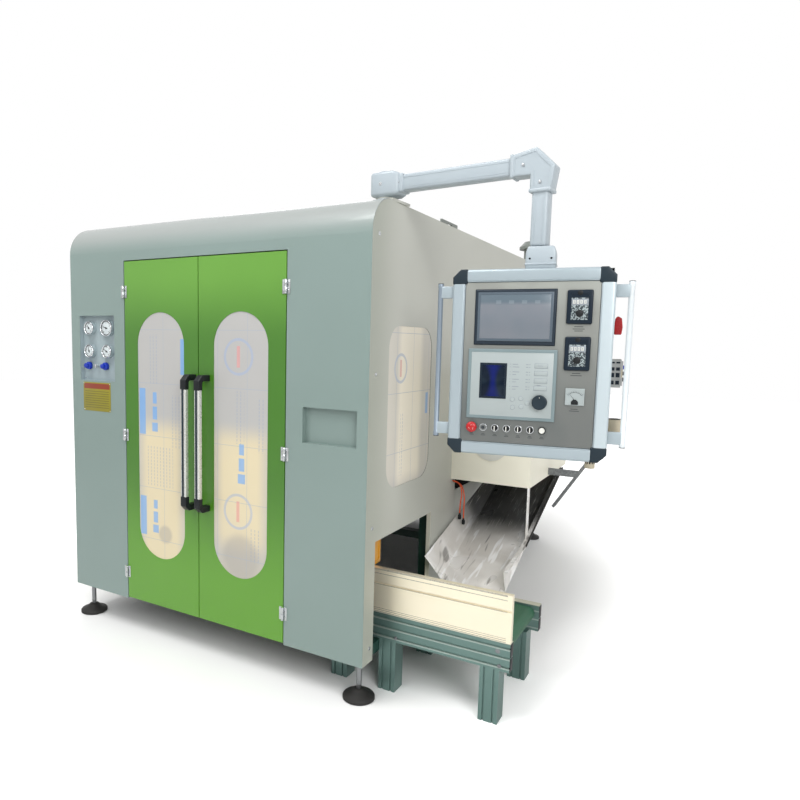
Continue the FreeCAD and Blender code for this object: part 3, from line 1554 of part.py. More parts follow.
def make_barrel():
    x = -S.screw_axis_x
    z = S.screw_axis_z
    start = S.head_y + S.head_half
    length = S.barrel_end - start
    parts = [rod((x, start, z), length, S.barrel_radius, "y")]
    for count in range(4):
        y = start + S.saddle / 2 + count * S.band_pitch
        parts.append(rod((x, y, z), S.band_width, S.band_radius, "y"))
    boss = S.feed_boss
    parts.append(box((x - boss, S.hopper_y - boss, z), (x + boss, S.hopper_y + boss, S.feed_top)))
    reach = S.deck_gauge / 2 + S.beam_wide / 2
    for y in (start + S.band_pitch, S.hopper_y - S.saddle / 2):
        parts.append(box((x - reach, y - S.saddle / 2, S.deck_top), (x + reach, y + S.saddle / 2,
                                                                     S.deck_top + S.head_foot)))
        parts.append(box((x - S.saddle, y - S.saddle / 2, S.deck_top), (x + S.saddle, y + S.saddle / 2, z)))
    bore = rod((x, start, z), length, S.screw_radius + S.screw_play, "y")
    feed = rod((x, S.hopper_y, z), S.feed_top - z, S.hopper_neck - S.hopper_wall)
    return cut(fuse(parts), [bore, feed])


def make_screw():
    """The screw's outline as a turned shaft: the core in the barrel and a thicker shank in the gearbox."""
    start = S.head_y + S.head_half + 1
    end = S.barrel_end
    core = S.screw_core
    radius = S.screw_radius
    shank = end - S.screw_shank
    shank_end = end + S.screw_shank
    shaft = turned("ScrewShaft", [
        (0, start), (core, start), (core, shank), (radius, shank), (radius, shank_end), (0, shank_end)])
    moved(shaft, (-S.screw_axis_x, 0, S.screw_axis_z))
    return shaft


def make_extruder_gearmotor():
    x = -S.screw_axis_x
    start = S.barrel_end
    half = S.gearbox_width / 2
    gearbox = box((x - half, start, S.deck_top),
                  (x + half, start + S.gearbox_length, S.deck_top + S.gearbox_height))
    bore = rod((x, start, S.screw_axis_z), S.screw_shank + 1, S.screw_radius + S.screw_play, "y")
    motor_start = start + S.gearbox_length
    motor = rod((x, motor_start, S.screw_axis_z), S.motor_length, S.motor_radius, "y")
    rest_y = motor_start + S.motor_length / 2
    rest_top = S.screw_axis_z - S.motor_radius / 2
    rest = box((x - half, rest_y - S.saddle, S.deck_top), (x + half, rest_y + S.saddle, rest_top))
    return fuse([cut(gearbox, [bore]), motor, rest])


def make_die_head():
    x = -S.screw_axis_x
    half = S.head_half
    y = S.head_y
    reach = S.deck_gauge / 2 + S.beam_wide / 2
    block = box((x - half, y - half, S.head_bottom), (x + half, y + half, S.head_top))
    feet = box((x - reach, y - S.saddle, S.deck_top), (x + reach, y + S.saddle, S.deck_top + S.head_foot))
    die = rod((x, y, S.die_bottom), S.head_bottom - S.die_bottom, S.die_radius)
    gap = cut(rod((x, y, S.die_bottom), S.die_gap, S.die_radius - S.die_gap),
              [rod((x, y, S.die_bottom), S.die_gap, S.die_radius - 1.5 * S.die_gap)])
    return cut(fuse([block, feet, die]), [gap])


def square_rod(half, low, high):
    """An upright square block on the hopper's middle line."""
    x = -S.screw_axis_x
    return box((x - half, S.hopper_y - half, low), (x + half, S.hopper_y + half, high))


def make_hopper():
    """Round bowl and cone with a flat bottom, on a square duct down to the barrel's feed."""
    wall = S.hopper_wall
    neck = S.hopper_neck
    wide = S.hopper_radius
    bowl = turned("HopperBowl", [
        (0, S.hopper_cone_bottom), (neck, S.hopper_cone_bottom),
        (wide, S.hopper_cone_top), (wide, S.hopper_top),
        (wide - wall, S.hopper_top), (wide - wall, S.hopper_cone_top + wall),
        (neck - wall, S.hopper_cone_bottom + wall), (0, S.hopper_cone_bottom + wall)], "z")
    moved(bowl, (-S.screw_axis_x, S.hopper_y, 0))
    duct = square_rod(S.hopper_duct, S.feed_top, S.hopper_cone_bottom)
    flange = square_rod(S.hopper_flange, S.feed_top, S.feed_top + 3 * wall)
    bore = square_rod(S.hopper_duct - wall, S.feed_top - wall, S.hopper_cone_bottom + 2 * wall)
    axis_y = S.hopper_y + S.lid_hinge
    axis_z = S.hopper_top + S.lid_eye
    ears = []
    inner = S.lid_eye_length / 2 + S.clearance
    near = axis_y - S.ear * 1.5
    low = S.hopper_top - S.ear * 4
    for start in (-S.screw_axis_x - inner - S.ear, -S.screw_axis_x + inner):
        ears.append(plate_body("HopperEar", "yz", [
            (S.hopper_y + wide - wall, low), (axis_y + S.ear, S.hopper_top - S.ear),
            (axis_y + S.ear, axis_z + S.ear), (near, axis_z + S.ear), (near, S.hopper_top - wall),
            (S.hopper_y + wide - wall, S.hopper_top - wall)], start, S.ear))
    pin = rod((-S.screw_axis_x - inner, axis_y, axis_z), 2 * inner, S.lid_pin, "x")
    return cut(fuse([bowl, duct, flange, pin] + ears), [bore])


def make_hopper_lid():
    x = -S.screw_axis_x
    axis_y = S.hopper_y + S.lid_hinge
    axis_z = S.hopper_top + S.lid_eye
    disc = rod((x, S.hopper_y, S.hopper_top), S.lid, S.hopper_radius + S.hopper_wall)
    half = S.lid_eye_length / 2
    tab = box((x - half, S.hopper_y + S.hopper_radius / 2, S.hopper_top),
              (x + half, axis_y, S.hopper_top + S.lid))
    eye = rod((x - half, axis_y, axis_z), S.lid_eye_length, S.lid_eye, "x")
    bore = rod((x - half, axis_y, axis_z), S.lid_eye_length, S.lid_pin + S.pin_play, "x")
    knob = rod((x, S.hopper_y - S.hopper_radius / 2, S.hopper_top + S.lid), S.ear, S.lid_eye)
    return cut(fuse([disc, tab, eye, knob]), [bore])


# ---------------------------------------------------------------- moulds, clamp and blow pin

def bar_places():
    return [(S.head_y + dy * S.bar_spread_y, S.clamp_middle + dz * S.bar_spread_z)
            for dy in (-1, 1) for dz in (-1, 1)]


def between(side, near, far):
    """X range of something from near to far out of the mould's parting plane, on the given side."""
    x = -S.screw_axis_x
    first, last = (near, far) if side > 0 else (far, near)
    return x + side * first, x + side * last


def make_mould(side):
    """Mould half with its platen and ram; side is -1 for the left one."""
    y = S.head_y
    face = S.mould_open
    back = face + S.mould_thick
    rear = back + S.platen_thick
    x0, x1 = between(side, face, back)
    half = S.mould_depth / 2
    block = box((x0, y - half, S.mould_bottom), (x1, y + half, S.mould_top))
    c0, c1 = between(side, face, face + S.cavity_depth)
    wide = S.cavity_width / 2
    cavity = box((c0, y - wide, S.cavity_bottom), (c1, y + wide, S.cavity_top))
    n0, _ = between(side, face, face)
    neck = rod((n0, y, S.mould_bottom), S.cavity_bottom - S.mould_bottom, S.neck_radius)
    p0, p1 = between(side, back, rear)
    depth = S.platen_depth / 2
    platen = box((p0, y - depth, S.platen_bottom), (p1, y + depth, S.platen_top))
    bores = [rod((p0, by, bz), S.platen_thick, S.bar_radius + S.bar_play, "x") for by, bz in bar_places()]
    r0, _ = between(side, rear, rear + S.ram_length)
    ram = rod((r0, y, S.clamp_middle), S.ram_length, S.ram_radius, "x")
    return fuse([cut(block, [cavity, neck]), cut(platen, bores), ram])


def make_clamp_unit():
    y = S.head_y
    depth = S.platen_depth / 2
    solids = []
    for side in (-1, 1):
        x0, x1 = between(side, S.end_plate_x, S.end_plate_x + S.end_plate)
        plate = box((x0, y - depth, S.bed_top), (x1, y + depth, S.platen_top))
        c0, _ = between(side, S.end_plate_x + S.end_plate, S.end_plate_x + S.end_plate + S.clamp_length)
        cylinder = rod((c0, y, S.clamp_middle), S.clamp_length, S.clamp_radius, "x")
        b0, b1 = between(side, S.end_plate_x, S.end_plate_x + S.end_plate + S.clamp_length - S.arm_base_thick)
        bore = rod((b0, y, S.clamp_middle), b1 - b0, S.ram_radius + S.bar_play, "x")
        solids.append(cut(fuse([plate, cylinder]), [bore]))
    left, _ = between(-1, 0, S.end_plate_x)
    for by, bz in bar_places():
        solids.append(rod((left, by, bz), 2 * S.end_plate_x, S.bar_radius, "x"))
    x = -S.screw_axis_x
    half = S.blow_plate_half
    plate = box((x - half, y - depth, S.bed_top), (x + half, y + depth, S.bed_top + S.blow_plate))
    cylinder = rod((x, y, S.bed_top), S.blow_cylinder_top - S.bed_top, S.blow_cylinder_radius)
    bore = rod((x, y, S.bed_top), S.blow_cylinder_top - S.bed_top, S.blow_pin_radius + S.bar_play)
    solids.append(cut(fuse([plate, cylinder]), [bore]))
    return solids


def make_blow_pin():
    return rod((-S.screw_axis_x, S.head_y, S.blow_pin_bottom), S.blow_pin_top - S.blow_pin_bottom,
               S.blow_pin_radius)


# ---------------------------------------------------------------- all pieces

long_points = cable_points(LONG_RUNS, (0, 0, 0), S.cable_long_end)
short_points = cable_points(SHORT_RUNS, SHORT_SHIFT, S.cable_short_end)

node("base_frame", make_base_frame())
node("front_cover", make_front_cover())
node("right_side_panel", make_side_panel(True))
node("left_side_panel", make_side_panel(False))
node("roof_panel", make_roof())
node("rear_panel", make_rear_panel())
node("side_window", make_side_window())
node("gauge_plate", make_gauge_plate())
node("regulator_knob_left", make_regulator_knob(-S.regulator_left))
node("regulator_knob_right", make_regulator_knob(-S.regulator_right))
node("levelling_feet", make_feet())
node("hinge_pins", make_hinge_pins())
node("door_left", make_door(-1))
node("door_window_left", make_door_window(-1))
node("door_handle_left", make_door_handle(-S.door_meeting - S.handle_left_offset))
node("door_right", make_door(1))
node("door_window_right", make_door_window(1))
node("door_handle_right", make_door_handle(-S.door_meeting + S.handle_right_offset))
node("conveyor_frame", make_conveyor_frame())
node("conveyor_belt", make_belt())
node("drive_roller", make_roller(roller_left))
node("idler_roller", make_roller(roller_right))
node("conveyor_gearmotor", make_conveyor_gearmotor())
node("bottle_chute", make_chute())
node("outlet_hood", make_outlet_hood())
node("orange_cable_long", cable_route(long_points, S.cable_radius))
node("orange_cable_short", cable_route(short_points, S.cable_radius))
node("cable_plugs", [make_plug(long_points), make_plug(short_points)])
node("arm_base", make_arm_base(), ARM)
node("arm_head", make_arm_head(), ARM)
node("arm_tubes", make_arm_tubes(), ARM)
node("arm_elbow", make_arm_elbow(), ARM)
node("panel_coupling", make_panel_coupling(), PANEL)
node("panel_frame", make_panel_frame(), PANEL)
node("panel_corner_caps", make_corner_caps(), PANEL)
node("panel_face", make_panel_face(), PANEL)
node("panel_rear_cover", make_rear_cover(), PANEL)
node("touch_screen", make_touch_screen(), PANEL)
node("parison_controller", make_parison_controller(), PANEL)
node("controller_knob", make_controller_knob(), PANEL)
node("panel_instruments", make_panel_instruments(), PANEL)
node("stop_button", make_stop_button(), PANEL)
for number in range(4):
    node(f"selector_{number + 1}", make_selector(number), PANEL)
node("start_button", make_start_button(), PANEL)
node("panel_grab_handles", make_grab_handles(), PANEL)
node("panel_side_fittings", make_side_fittings(), PANEL)
node("main_switch_lever", make_switch_lever(), PANEL)
node("extruder_barrel", make_barrel())
node("extruder_screw", make_screw())
node("extruder_gearmotor", make_extruder_gearmotor())
node("die_head", make_die_head())
node("hopper", make_hopper())
node("hopper_lid", make_hopper_lid())
node("mould_left", make_mould(-1))
node("mould_right", make_mould(1))
node("clamp_unit", make_clamp_unit())
node("blow_pin", make_blow_pin())

doc.recompute()

troubles = []
for item in doc.Objects:
    if "Invalid" in item.State or "Error" in item.State:
        troubles.append(f"{item.Name} {item.Label} {item.State}")
for piece in nodes:
    if piece.Shape.isNull() or not piece.Shape.isValid() or not piece.Shape.Solids:
        troubles.append(f"{piece.Label} has no valid solid")
if troubles:
    raise RuntimeError("; ".join(troubles[:20]))

os.makedirs("parts", exist_ok=True)
for piece in nodes:
    piece.Shape.exportStep(f"parts/{piece.Label}.step")
    bounds = piece.Shape.BoundBox
    print(f"{piece.Label}: {len(piece.Shape.Solids)} solids, X {bounds.XMin:.1f} {bounds.XMax:.1f}, "
          f"Y {bounds.YMin:.1f} {bounds.YMax:.1f}, Z {bounds.ZMin:.1f} {bounds.ZMax:.1f}")
print(f"{len(nodes)} pieces")
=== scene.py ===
# %% [markdown]
# # Blow moulding machine
# A steel cabinet as large as a van holds an extruder, a pair of moulds and a clamp. What it makes slides
# down a chute on its right side onto a short belt conveyor, and the control panel hangs from a swing arm on
# the roof. The solids come in as a fixed frame, so here the work is in looks: rounded edges, dials, keys,
# screws, finishes.

# %% Load the frame
import math

import bpy
from mathutils import Matrix, Vector


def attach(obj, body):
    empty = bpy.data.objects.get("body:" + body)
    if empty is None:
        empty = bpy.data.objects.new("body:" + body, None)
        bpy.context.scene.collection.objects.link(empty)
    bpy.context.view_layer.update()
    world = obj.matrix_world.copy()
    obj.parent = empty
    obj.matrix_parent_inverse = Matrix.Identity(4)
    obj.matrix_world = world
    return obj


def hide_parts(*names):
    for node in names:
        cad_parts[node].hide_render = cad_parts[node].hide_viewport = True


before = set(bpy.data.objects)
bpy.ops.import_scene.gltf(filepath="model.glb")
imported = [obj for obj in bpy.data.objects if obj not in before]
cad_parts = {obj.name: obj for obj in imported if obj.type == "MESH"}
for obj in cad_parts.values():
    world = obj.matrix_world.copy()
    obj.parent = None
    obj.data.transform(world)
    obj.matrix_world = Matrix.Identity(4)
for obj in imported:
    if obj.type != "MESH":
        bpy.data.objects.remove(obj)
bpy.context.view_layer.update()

# %% [markdown]
# ## Places and units
# The machine is drawn in millimetres from its right front corner on the floor: X to the right, Y to the
# back. The arm and the panel are turned a little about their pivots, so their pieces are drawn square and
# turned last. Each group is a starting point, a turn and the body that most of its pieces ride on.

# %% Places
MM = 0.001
FRONT, BACK, RIGHT, LEFT, UP = (0, -1, 0), (0, 1, 0), (1, 0, 0), (-1, 0, 0), (0, 0, 1)
ARM_TURN = math.radians(-4)
PANEL_TURN = math.radians(9.6)
ARM_REACH = 0.665
CORNER = Vector((0.4435, -1.4635, 0))
PIVOT = CORNER + Vector((-0.070, 0.250, 0))
SWIVEL = PIVOT + ARM_REACH * Vector((math.cos(ARM_TURN), math.sin(ARM_TURN), 0))
MACHINE = (CORNER, 0.0, "cabinet")
ARM = (PIVOT, ARM_TURN, "swing_arm")
PANEL = (SWIVEL, PANEL_TURN, "control_panel")
print("panel swivel at", [round(value, 4) for value in SWIVEL])

# %% [markdown]
# ## The camera
# The photograph was taken from the right front corner at eye height, with the camera turned 31 degrees to
# the left and tipped a little down. A small lens shift keeps the crop of the picture.

# %% Camera
camera = bpy.data.objects.new("Camera", bpy.data.cameras.new("Camera"))
bpy.context.collection.objects.link(camera)
camera.data.lens = 29.60
camera.data.sensor_width = 36
camera.data.shift_x = 0.08205
camera.data.shift_y = 0.01646
camera.data.clip_end = 60
camera.matrix_world = (Matrix.Translation((1.6675, -3.7815, 1.522)) @
                       Matrix.Rotation(math.radians(30.79), 4, "Z") @
                       Matrix.Rotation(math.radians(90 - 6.03), 4, "X") @
                       Matrix.Rotation(math.radians(1.07), 4, "Z"))
bpy.context.scene.camera = camera
print("camera stands", round(camera.location.length, 2), "m from the origin")

# %% [markdown]
# ## Small tools
# Blender's operators act on whatever is selected, so every tool starts by clearing the selection. Each new
# piece starts as a primitive, is shaped in edit mode and ends with `seat`, which puts it in place, gives it
# a finish and lets it ride on one of the machine's bodies.

# %% Selection tools
def clear():
    if bpy.context.object and bpy.context.object.mode != "OBJECT":
        bpy.ops.object.mode_set(mode="OBJECT")
    bpy.ops.object.select_all(action="DESELECT")


def take(piece):
    clear()
    piece.select_set(True)
    bpy.context.view_layer.objects.active = piece


def edit_all(piece):
    take(piece)
    bpy.ops.object.mode_set(mode="EDIT")
    bpy.ops.mesh.select_mode(type="VERT")
    bpy.ops.mesh.select_all(action="SELECT")


def edit_faces(piece, wanted):
    """Enter edit mode with the faces selected whose middle (in mm) and normal pass the test."""
    take(piece)
    bpy.context.tool_settings.mesh_select_mode = (False, False, True)
    mesh = piece.data
    mesh.vertices.foreach_set("select", [False] * len(mesh.vertices))
    mesh.edges.foreach_set("select", [False] * len(mesh.edges))
    for face in mesh.polygons:
        face.select = bool(wanted(face.center / MM, face.normal))
    bpy.ops.object.mode_set(mode="EDIT")


def leave():
    bpy.ops.object.mode_set(mode="OBJECT")


print("selection tools ready")

# %% Tools that start a piece
def block(name, low, high):
    """A box between two corners in mm, the start of most sheet and moulded pieces."""
    clear()
    bpy.ops.mesh.primitive_cube_add(size=1, location=[(a + b) / 2 * MM for a, b in zip(low, high)])
    piece = bpy.context.object
    piece.name = name
    piece.scale = [(b - a) * MM for a, b in zip(low, high)]
    bpy.ops.object.transform_apply(location=True, rotation=True, scale=True)
    return piece


def trace(name, corners):
    """A chain of edges through points in mm, drawn by extruding one vertex from point to point."""
    clear()
    bpy.ops.mesh.primitive_plane_add(size=0.01, location=(0, 0, 0))
    piece = bpy.context.object
    piece.name = name
    edit_all(piece)
    bpy.ops.mesh.merge(type="CENTER")
    bpy.ops.transform.translate(value=Vector(corners[0]) * MM)
    for before, after in zip(corners, corners[1:]):
        step = (Vector(after) - Vector(before)) * MM
        bpy.ops.mesh.extrude_region_move(TRANSFORM_OT_translate={"value": step})
    return piece


def plate(name, corners, thickness):
    """A flat piece: a closed outline in mm, filled and pushed along a vector in mm."""
    piece = trace(name, corners)
    bpy.ops.mesh.select_all(action="SELECT")
    bpy.ops.mesh.edge_face_add()
    bpy.ops.mesh.extrude_region_move(TRANSFORM_OT_translate={"value": Vector(thickness) * MM})
    bpy.ops.mesh.select_all(action="SELECT")
    bpy.ops.mesh.normals_make_consistent(inside=False)
    leave()
    return piece


def turned(name, profile, centre, axis, steps=48):
    """A lathe piece: (radius, place along the axis) points in mm, spun about an axis through a centre."""
    along = Vector(axis)
    across = Vector(UP) if abs(along.z) < 0.5 else Vector(RIGHT)
    middle = Vector(centre)
    piece = trace(name, [middle + across * radius + along * place for radius, place in profile])
    bpy.ops.mesh.select_all(action="SELECT")
    bpy.ops.mesh.spin(steps=steps, angle=math.tau, center=middle * MM, axis=along)
    bpy.ops.mesh.select_all(action="SELECT")
    bpy.ops.mesh.remove_doubles(threshold=0.00001)
    bpy.ops.mesh.normals_make_consistent(inside=False)
    leave()
    return piece


print("starting tools ready")

# %% Tools that shape a piece
def round_edges(piece, width, segments=3, angle=35):
    """Break the sharp edges, as casting and moulding do: a light line on an edge shows the size."""
    take(piece)
    bevel = piece.modifiers.new("Edge", "BEVEL")
    bevel.width = width * MM
    bevel.segments = segments
    bevel.limit_method = "ANGLE"
    bevel.angle_limit = math.radians(angle)
    bpy.ops.object.modifier_apply(modifier="Edge")
    return piece


def rounded(name, low, high, width, segments=3):
    """A block with its edges broken: the usual start of a bar, a cover or a key."""
    return round_edges(block(name, low, high), width, segments)


def sink(piece, facing, rim, depth):
    """Inset the flat faces that look along a direction by a rim and push them in by a depth, both in mm."""
    edit_faces(piece, lambda at, normal: normal.dot(Vector(facing)) > 0.999)
    bpy.ops.mesh.inset(thickness=rim * MM, depth=0)
    bpy.ops.mesh.inset(thickness=0.0002, depth=-depth * MM)
    leave()
    return piece


def cut_each(piece, wanted, rim, depth):
    """Inset each wanted face on its own and push it in by a depth in mm, or out with a depth below zero."""
    edit_faces(piece, wanted)
    bpy.ops.mesh.inset(thickness=rim * MM, depth=-depth * MM, use_individual=True)
    leave()
    return piece


def taper_end(piece, wanted, push, shrink, middle):
    """Extrude the wanted end by a vector and shrink it about a middle, both in mm."""
    edit_faces(piece, wanted)
    bpy.ops.mesh.extrude_region_move(TRANSFORM_OT_translate={"value": Vector(push) * MM})
    bpy.ops.transform.resize(value=shrink, center_override=Vector(middle) * MM)
    leave()
    return piece


print("shaping tools ready")

# %% Tools that copy, join and seat
def copy_of(piece, name, shift=(0, 0, 0), spin=None):
    """A copy with its own mesh, turned about a point and axis (radians, mm, axis), then moved in mm."""
    twin = piece.copy()
    twin.data = piece.data.copy()
    twin.name = name
    bpy.context.collection.objects.link(twin)
    take(twin)
    if spin:
        middle = Vector(spin[1]) * MM
        twin.matrix_world = (Matrix.Translation(middle) @ Matrix.Rotation(spin[0], 4, Vector(spin[2])) @
                             Matrix.Translation(-middle))
    twin.location = twin.location + Vector(shift) * MM
    bpy.ops.object.transform_apply(location=True, rotation=True, scale=True)
    return twin


def shifted(piece, shifts):
    """Copies of a piece, moved in mm, after which the pattern piece itself is taken away."""
    made = [copy_of(piece, piece.name, shift) for shift in shifts]
    bpy.data.objects.remove(piece)
    return made


def spun(piece, middle, angles):
    """Copies of a piece, turned about an axis along Y through a middle, in place of the pattern piece."""
    made = [copy_of(piece, piece.name, spin=(angle, middle, BACK)) for angle in angles]
    bpy.data.objects.remove(piece)
    return made


def join(name, pieces):
    clear()
    for piece in pieces:
        piece.select_set(True)
    bpy.context.view_layer.objects.active = pieces[0]
    bpy.ops.object.join()
    pieces[0].name = name
    return pieces[0]


def rounded_set(name, corners, width, segments=2):
    """One piece of several rounded blocks."""
    return join(name, [rounded("part", low, high, width, segments) for low, high in corners])


def turned_set(name, profile, centres, axis, steps):
    """One piece of a lathe piece and its copies, such as a row of screws."""
    return join(name, shifted(turned("part", profile, (0, 0, 0), axis, steps), centres))


def seat(piece, group, finish, slot, body=None, replaces=(), smooth=40):
    """Put a drawn piece in its group, give it its finish and let it move with the group's body or another."""
    start, turn, group_body = group
    take(piece)
    piece.location, piece.rotation_euler = start, (0, 0, turn)
    bpy.ops.object.transform_apply(location=True, rotation=True, scale=True)
    bpy.ops.object.shade_smooth_by_angle(angle=math.radians(smooth))
    piece.data.materials.clear()
    piece.data.materials.append(finish)
    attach(piece, body or group_body)
    if replaces:
        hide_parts(*replaces)
    return piece


def stamp(pattern, group, rows):
    """Copy pieces that were drawn once to every (name, shift, body, replaces) row.

    The pattern holds (ending, piece, finish, slot), with the smoothing angle as a fifth entry where it isn't
    40. Its first piece is the one that stands for the replaced nodes, and the pattern itself is taken away.
    """
    for name, shift, body, replaces in rows:
        for number, (ending, piece, finish, slot, *angle) in enumerate(pattern):
            seat(copy_of(piece, name + ending, shift), group, finish, slot, body,
                 () if number else replaces, *angle)
    for entry in pattern:
        bpy.data.objects.remove(entry[1])


print("copying and seating tools ready")

# %% [markdown]
# ## Finishes
# Each finish starts from the real material and from how its surface was made. Most share one recipe: a base
# colour that drifts over decimetres, and a fine grain that moves both the bump and the roughness. The grain
# of brushed metal and of moulded plastic is a tenth of a millimetre in truth. It would vanish at this
# distance, so it is drawn about a millimetre wide.

# %% Colour and node tools
SMOOTH = {"interpolation_type": "SMOOTHSTEP"}
BLEND = {"data_type": "RGBA"}


def colour(text):
    """sRGB hex to linear, with alpha."""
    values = [int(text[start:start + 2], 16) / 255 for start in (1, 3, 5)]
    return [value / 12.92 if value <= 0.04045 else ((value + 0.055) / 1.055) ** 2.4
            for value in values] + [1.0]


def wire(tree, node, inputs):
    """Give inputs, by name or number, a value, a socket, or the first output in use of another node."""
    for name, value in inputs.items():
        if isinstance(value, bpy.types.Node):
            value = next(output for output in value.outputs if output.enabled)
        if isinstance(value, bpy.types.NodeSocket):
            tree.links.new(value, node.inputs[name])
        else:
            node.inputs[name].default_value = value


def add(tree, kind, inputs=None, **settings):
    """Add a node of a kind with its settings, and wire its inputs."""
    node = tree.nodes.new("ShaderNode" + kind)
    for name, value in settings.items():
        setattr(node, name, value)
    wire(tree, node, inputs or {})
    return node


def blank(name, metallic=0.0, ior=None):
    """An empty finish: the material, its node tree, its shader and the place on the piece in metres."""
    material = bpy.data.materials.new(name)
    material.use_nodes = True
    tree = material.node_tree
    shader = tree.nodes["Principled BSDF"]
    shader.inputs["Metallic"].default_value = metallic
    if ior:
        shader.inputs["IOR"].default_value = ior
    return material, tree, shader, add(tree, "TexCoord").outputs["Object"]


def grain(tree, shader, place, size_mm, depth_mm, roughness, stretch=(1, 1, 1), turn=0.0, swing=0.15):
    """Fine surface relief, with a grain size in mm; stretch below 1 draws it out along that axis."""
    laid = add(tree, "Mapping", {"Vector": place, "Scale": stretch, "Rotation": (0, 0, turn)})
    fine = add(tree, "TexNoise", {"Vector": laid, "Scale": 1000 / size_mm, "Detail": 2.0})
    rough = add(tree, "MapRange", {0: fine, 1: 0.3, 2: 0.7, 3: roughness * (1 - swing),
                                   4: roughness * (1 + swing)}, **SMOOTH)
    bump = add(tree, "Bump", {"Height": fine, "Strength": 0.4, "Distance": depth_mm * MM})
    wire(tree, shader, {"Roughness": rough, "Normal": bump})


def surface(name, base, drift, drift_mm, grain_mm, grain_depth, roughness, metallic=0.0, ior=None,
            stretch=(1, 1, 1), coat=0.0, gloss=0.5):
    """A finish with a slow colour drift and a fine grain, both sized in millimetres."""
    material, tree, shader, place = blank(name, metallic, ior)
    slow = add(tree, "TexNoise", {"Vector": place, "Scale": 1000 / drift_mm, "Detail": 3.0})
    tone = add(tree, "Mix", {0: slow, 6: colour(base), 7: colour(drift)}, **BLEND)
    grain(tree, shader, place, grain_mm, grain_depth, roughness, stretch)
    wire(tree, shader, {"Base Color": tone, "Coat Weight": coat, "Specular IOR Level": gloss})
    return material


def near_box(tree, place, centre, half):
    """A mask: 1 inside a box given by its middle and half sizes in metres, 0 outside."""
    offset = add(tree, "VectorMath", {0: place, 1: centre}, operation="SUBTRACT")
    shrunk = add(tree, "VectorMath", {0: offset, 1: half}, operation="DIVIDE")
    part = add(tree, "SeparateXYZ", {0: add(tree, "VectorMath", {0: shrunk}, operation="ABSOLUTE")}).outputs
    wide = add(tree, "Math", {0: part[0], 1: part[1]}, operation="MAXIMUM")
    most = add(tree, "Math", {0: wide, 1: part[2]}, operation="MAXIMUM")
    return add(tree, "Math", {0: most, 1: 1.0}, operation="LESS_THAN")


def retinted(finish, tint, mask):
    """Lay a tint over a finish where a mask, built by a function of tree and place, is 1."""
    tree = finish.node_tree
    shader = tree.nodes["Principled BSDF"]
    under = shader.inputs["Base Color"].links[0].from_socket
    place = add(tree, "TexCoord").outputs["Object"]
    wire(tree, shader, {"Base Color": add(tree, "Mix", {0: mask(tree, place), 6: under, 7: colour(tint)},
                                          **BLEND)})
    return finish


def painted_light_ramp(finish, axis, start, end, tint, share=1.0):
    """Paint light or shade into a finish as a drift to another tint along one axis, between two places in
    metres.
    """
    return retinted(finish, tint, lambda tree, place: add(tree, "MapRange", {
        0: add(tree, "SeparateXYZ", {0: place}).outputs[axis], 1: start, 2: end, 4: share}, **SMOOTH))


def painted_inside_shade(finish):
    """Paint the faces inside the cabinet near black: painted shade for the inside, which the lamps don't
    reach.
    """
    return retinted(finish, "#17191A", lambda tree, place: near_box(
        tree, place, (-0.4565, 0.051375, 1.065), (0.89925, 1.484375, 0.890)))


def dress(finish, *names):
    """Give carried-over nodes a finish."""
    for name in names:
        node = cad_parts[name]
        node.data.materials.clear()
        node.data.materials.append(finish)


print("finish tools ready")

# %% [markdown]
# ### Sheet metal paint
# The cabinet is folded steel sheet with a powder coat. Baked powder keeps a faint orange peel a few
# millimetres wide, which breaks up reflections. The doors have the same coat in grass green, a little
# glossier. Large sheets never look even: a slow drift to a second tint stands for the room that they
# mirror.

# %% Powder coats
# Front cover: soft wide highlights, a painted highlight that makes the top bend lighter so the fold reads as
# round, and painted shade on the faces inside.
grey_coat = surface("powder coat, cool grey", "#7E908C", "#768782", 700, 3.0, 0.10, 0.38, coat=0.25)
grey_coat = painted_inside_shade(painted_light_ramp(grey_coat, 2, 1.94, 2.06, "#939795", 0.9))
# Gauge plate: the same coat a shade paler and bluer, so it reads as a second sheet set back.
gauge_coat = surface("powder coat, pale blue-grey", "#98A6AA", "#8F9DA1", 200, 2.2, 0.10, 0.42)
# Side sheets: a warm silver with a coarser peel that looks duller, with painted shade that makes it darker
# towards the front edge and near black on the faces inside.
side_coat = surface("powder coat, silver grey", "#C6C6BE", "#B0B2A9", 900, 2.2, 0.16, 0.45)
side_coat = painted_inside_shade(painted_light_ramp(side_coat, 1, -1.16, -1.46, "#9A9E93", 0.8))
# A painted highlight on the outlet's flange: a cream strip, so the opening keeps a bright rim in front of the
# dark inside.
side_coat = retinted(side_coat, "#DAD6C6", lambda tree, place: near_box(
    tree, place, (0.4335, -0.7715, 0.435), (0.0115, 0.002, 0.265)))
# Panel housing: a lighter and finer coat than the cabinet's, as bought-in boxes have.
panel_coat = surface("powder coat, light grey", "#C9CCCC", "#C1C5C5", 400, 2.2, 0.12, 0.42)
# Doors: a fresh green with a thin clear gloss; a painted reflection makes a dark band across the middle, as
# of a room mirrored in it.
green_coat = surface("powder coat, grass green", "#659B38", "#578B2D", 600, 3.0, 0.08, 0.33, coat=0.15)
green_coat = painted_light_ramp(painted_light_ramp(green_coat, 2, 1.85, 1.50, "#3A6E17", 0.95), 2, 0.95, 0.35, "#5B9326", 0.9)
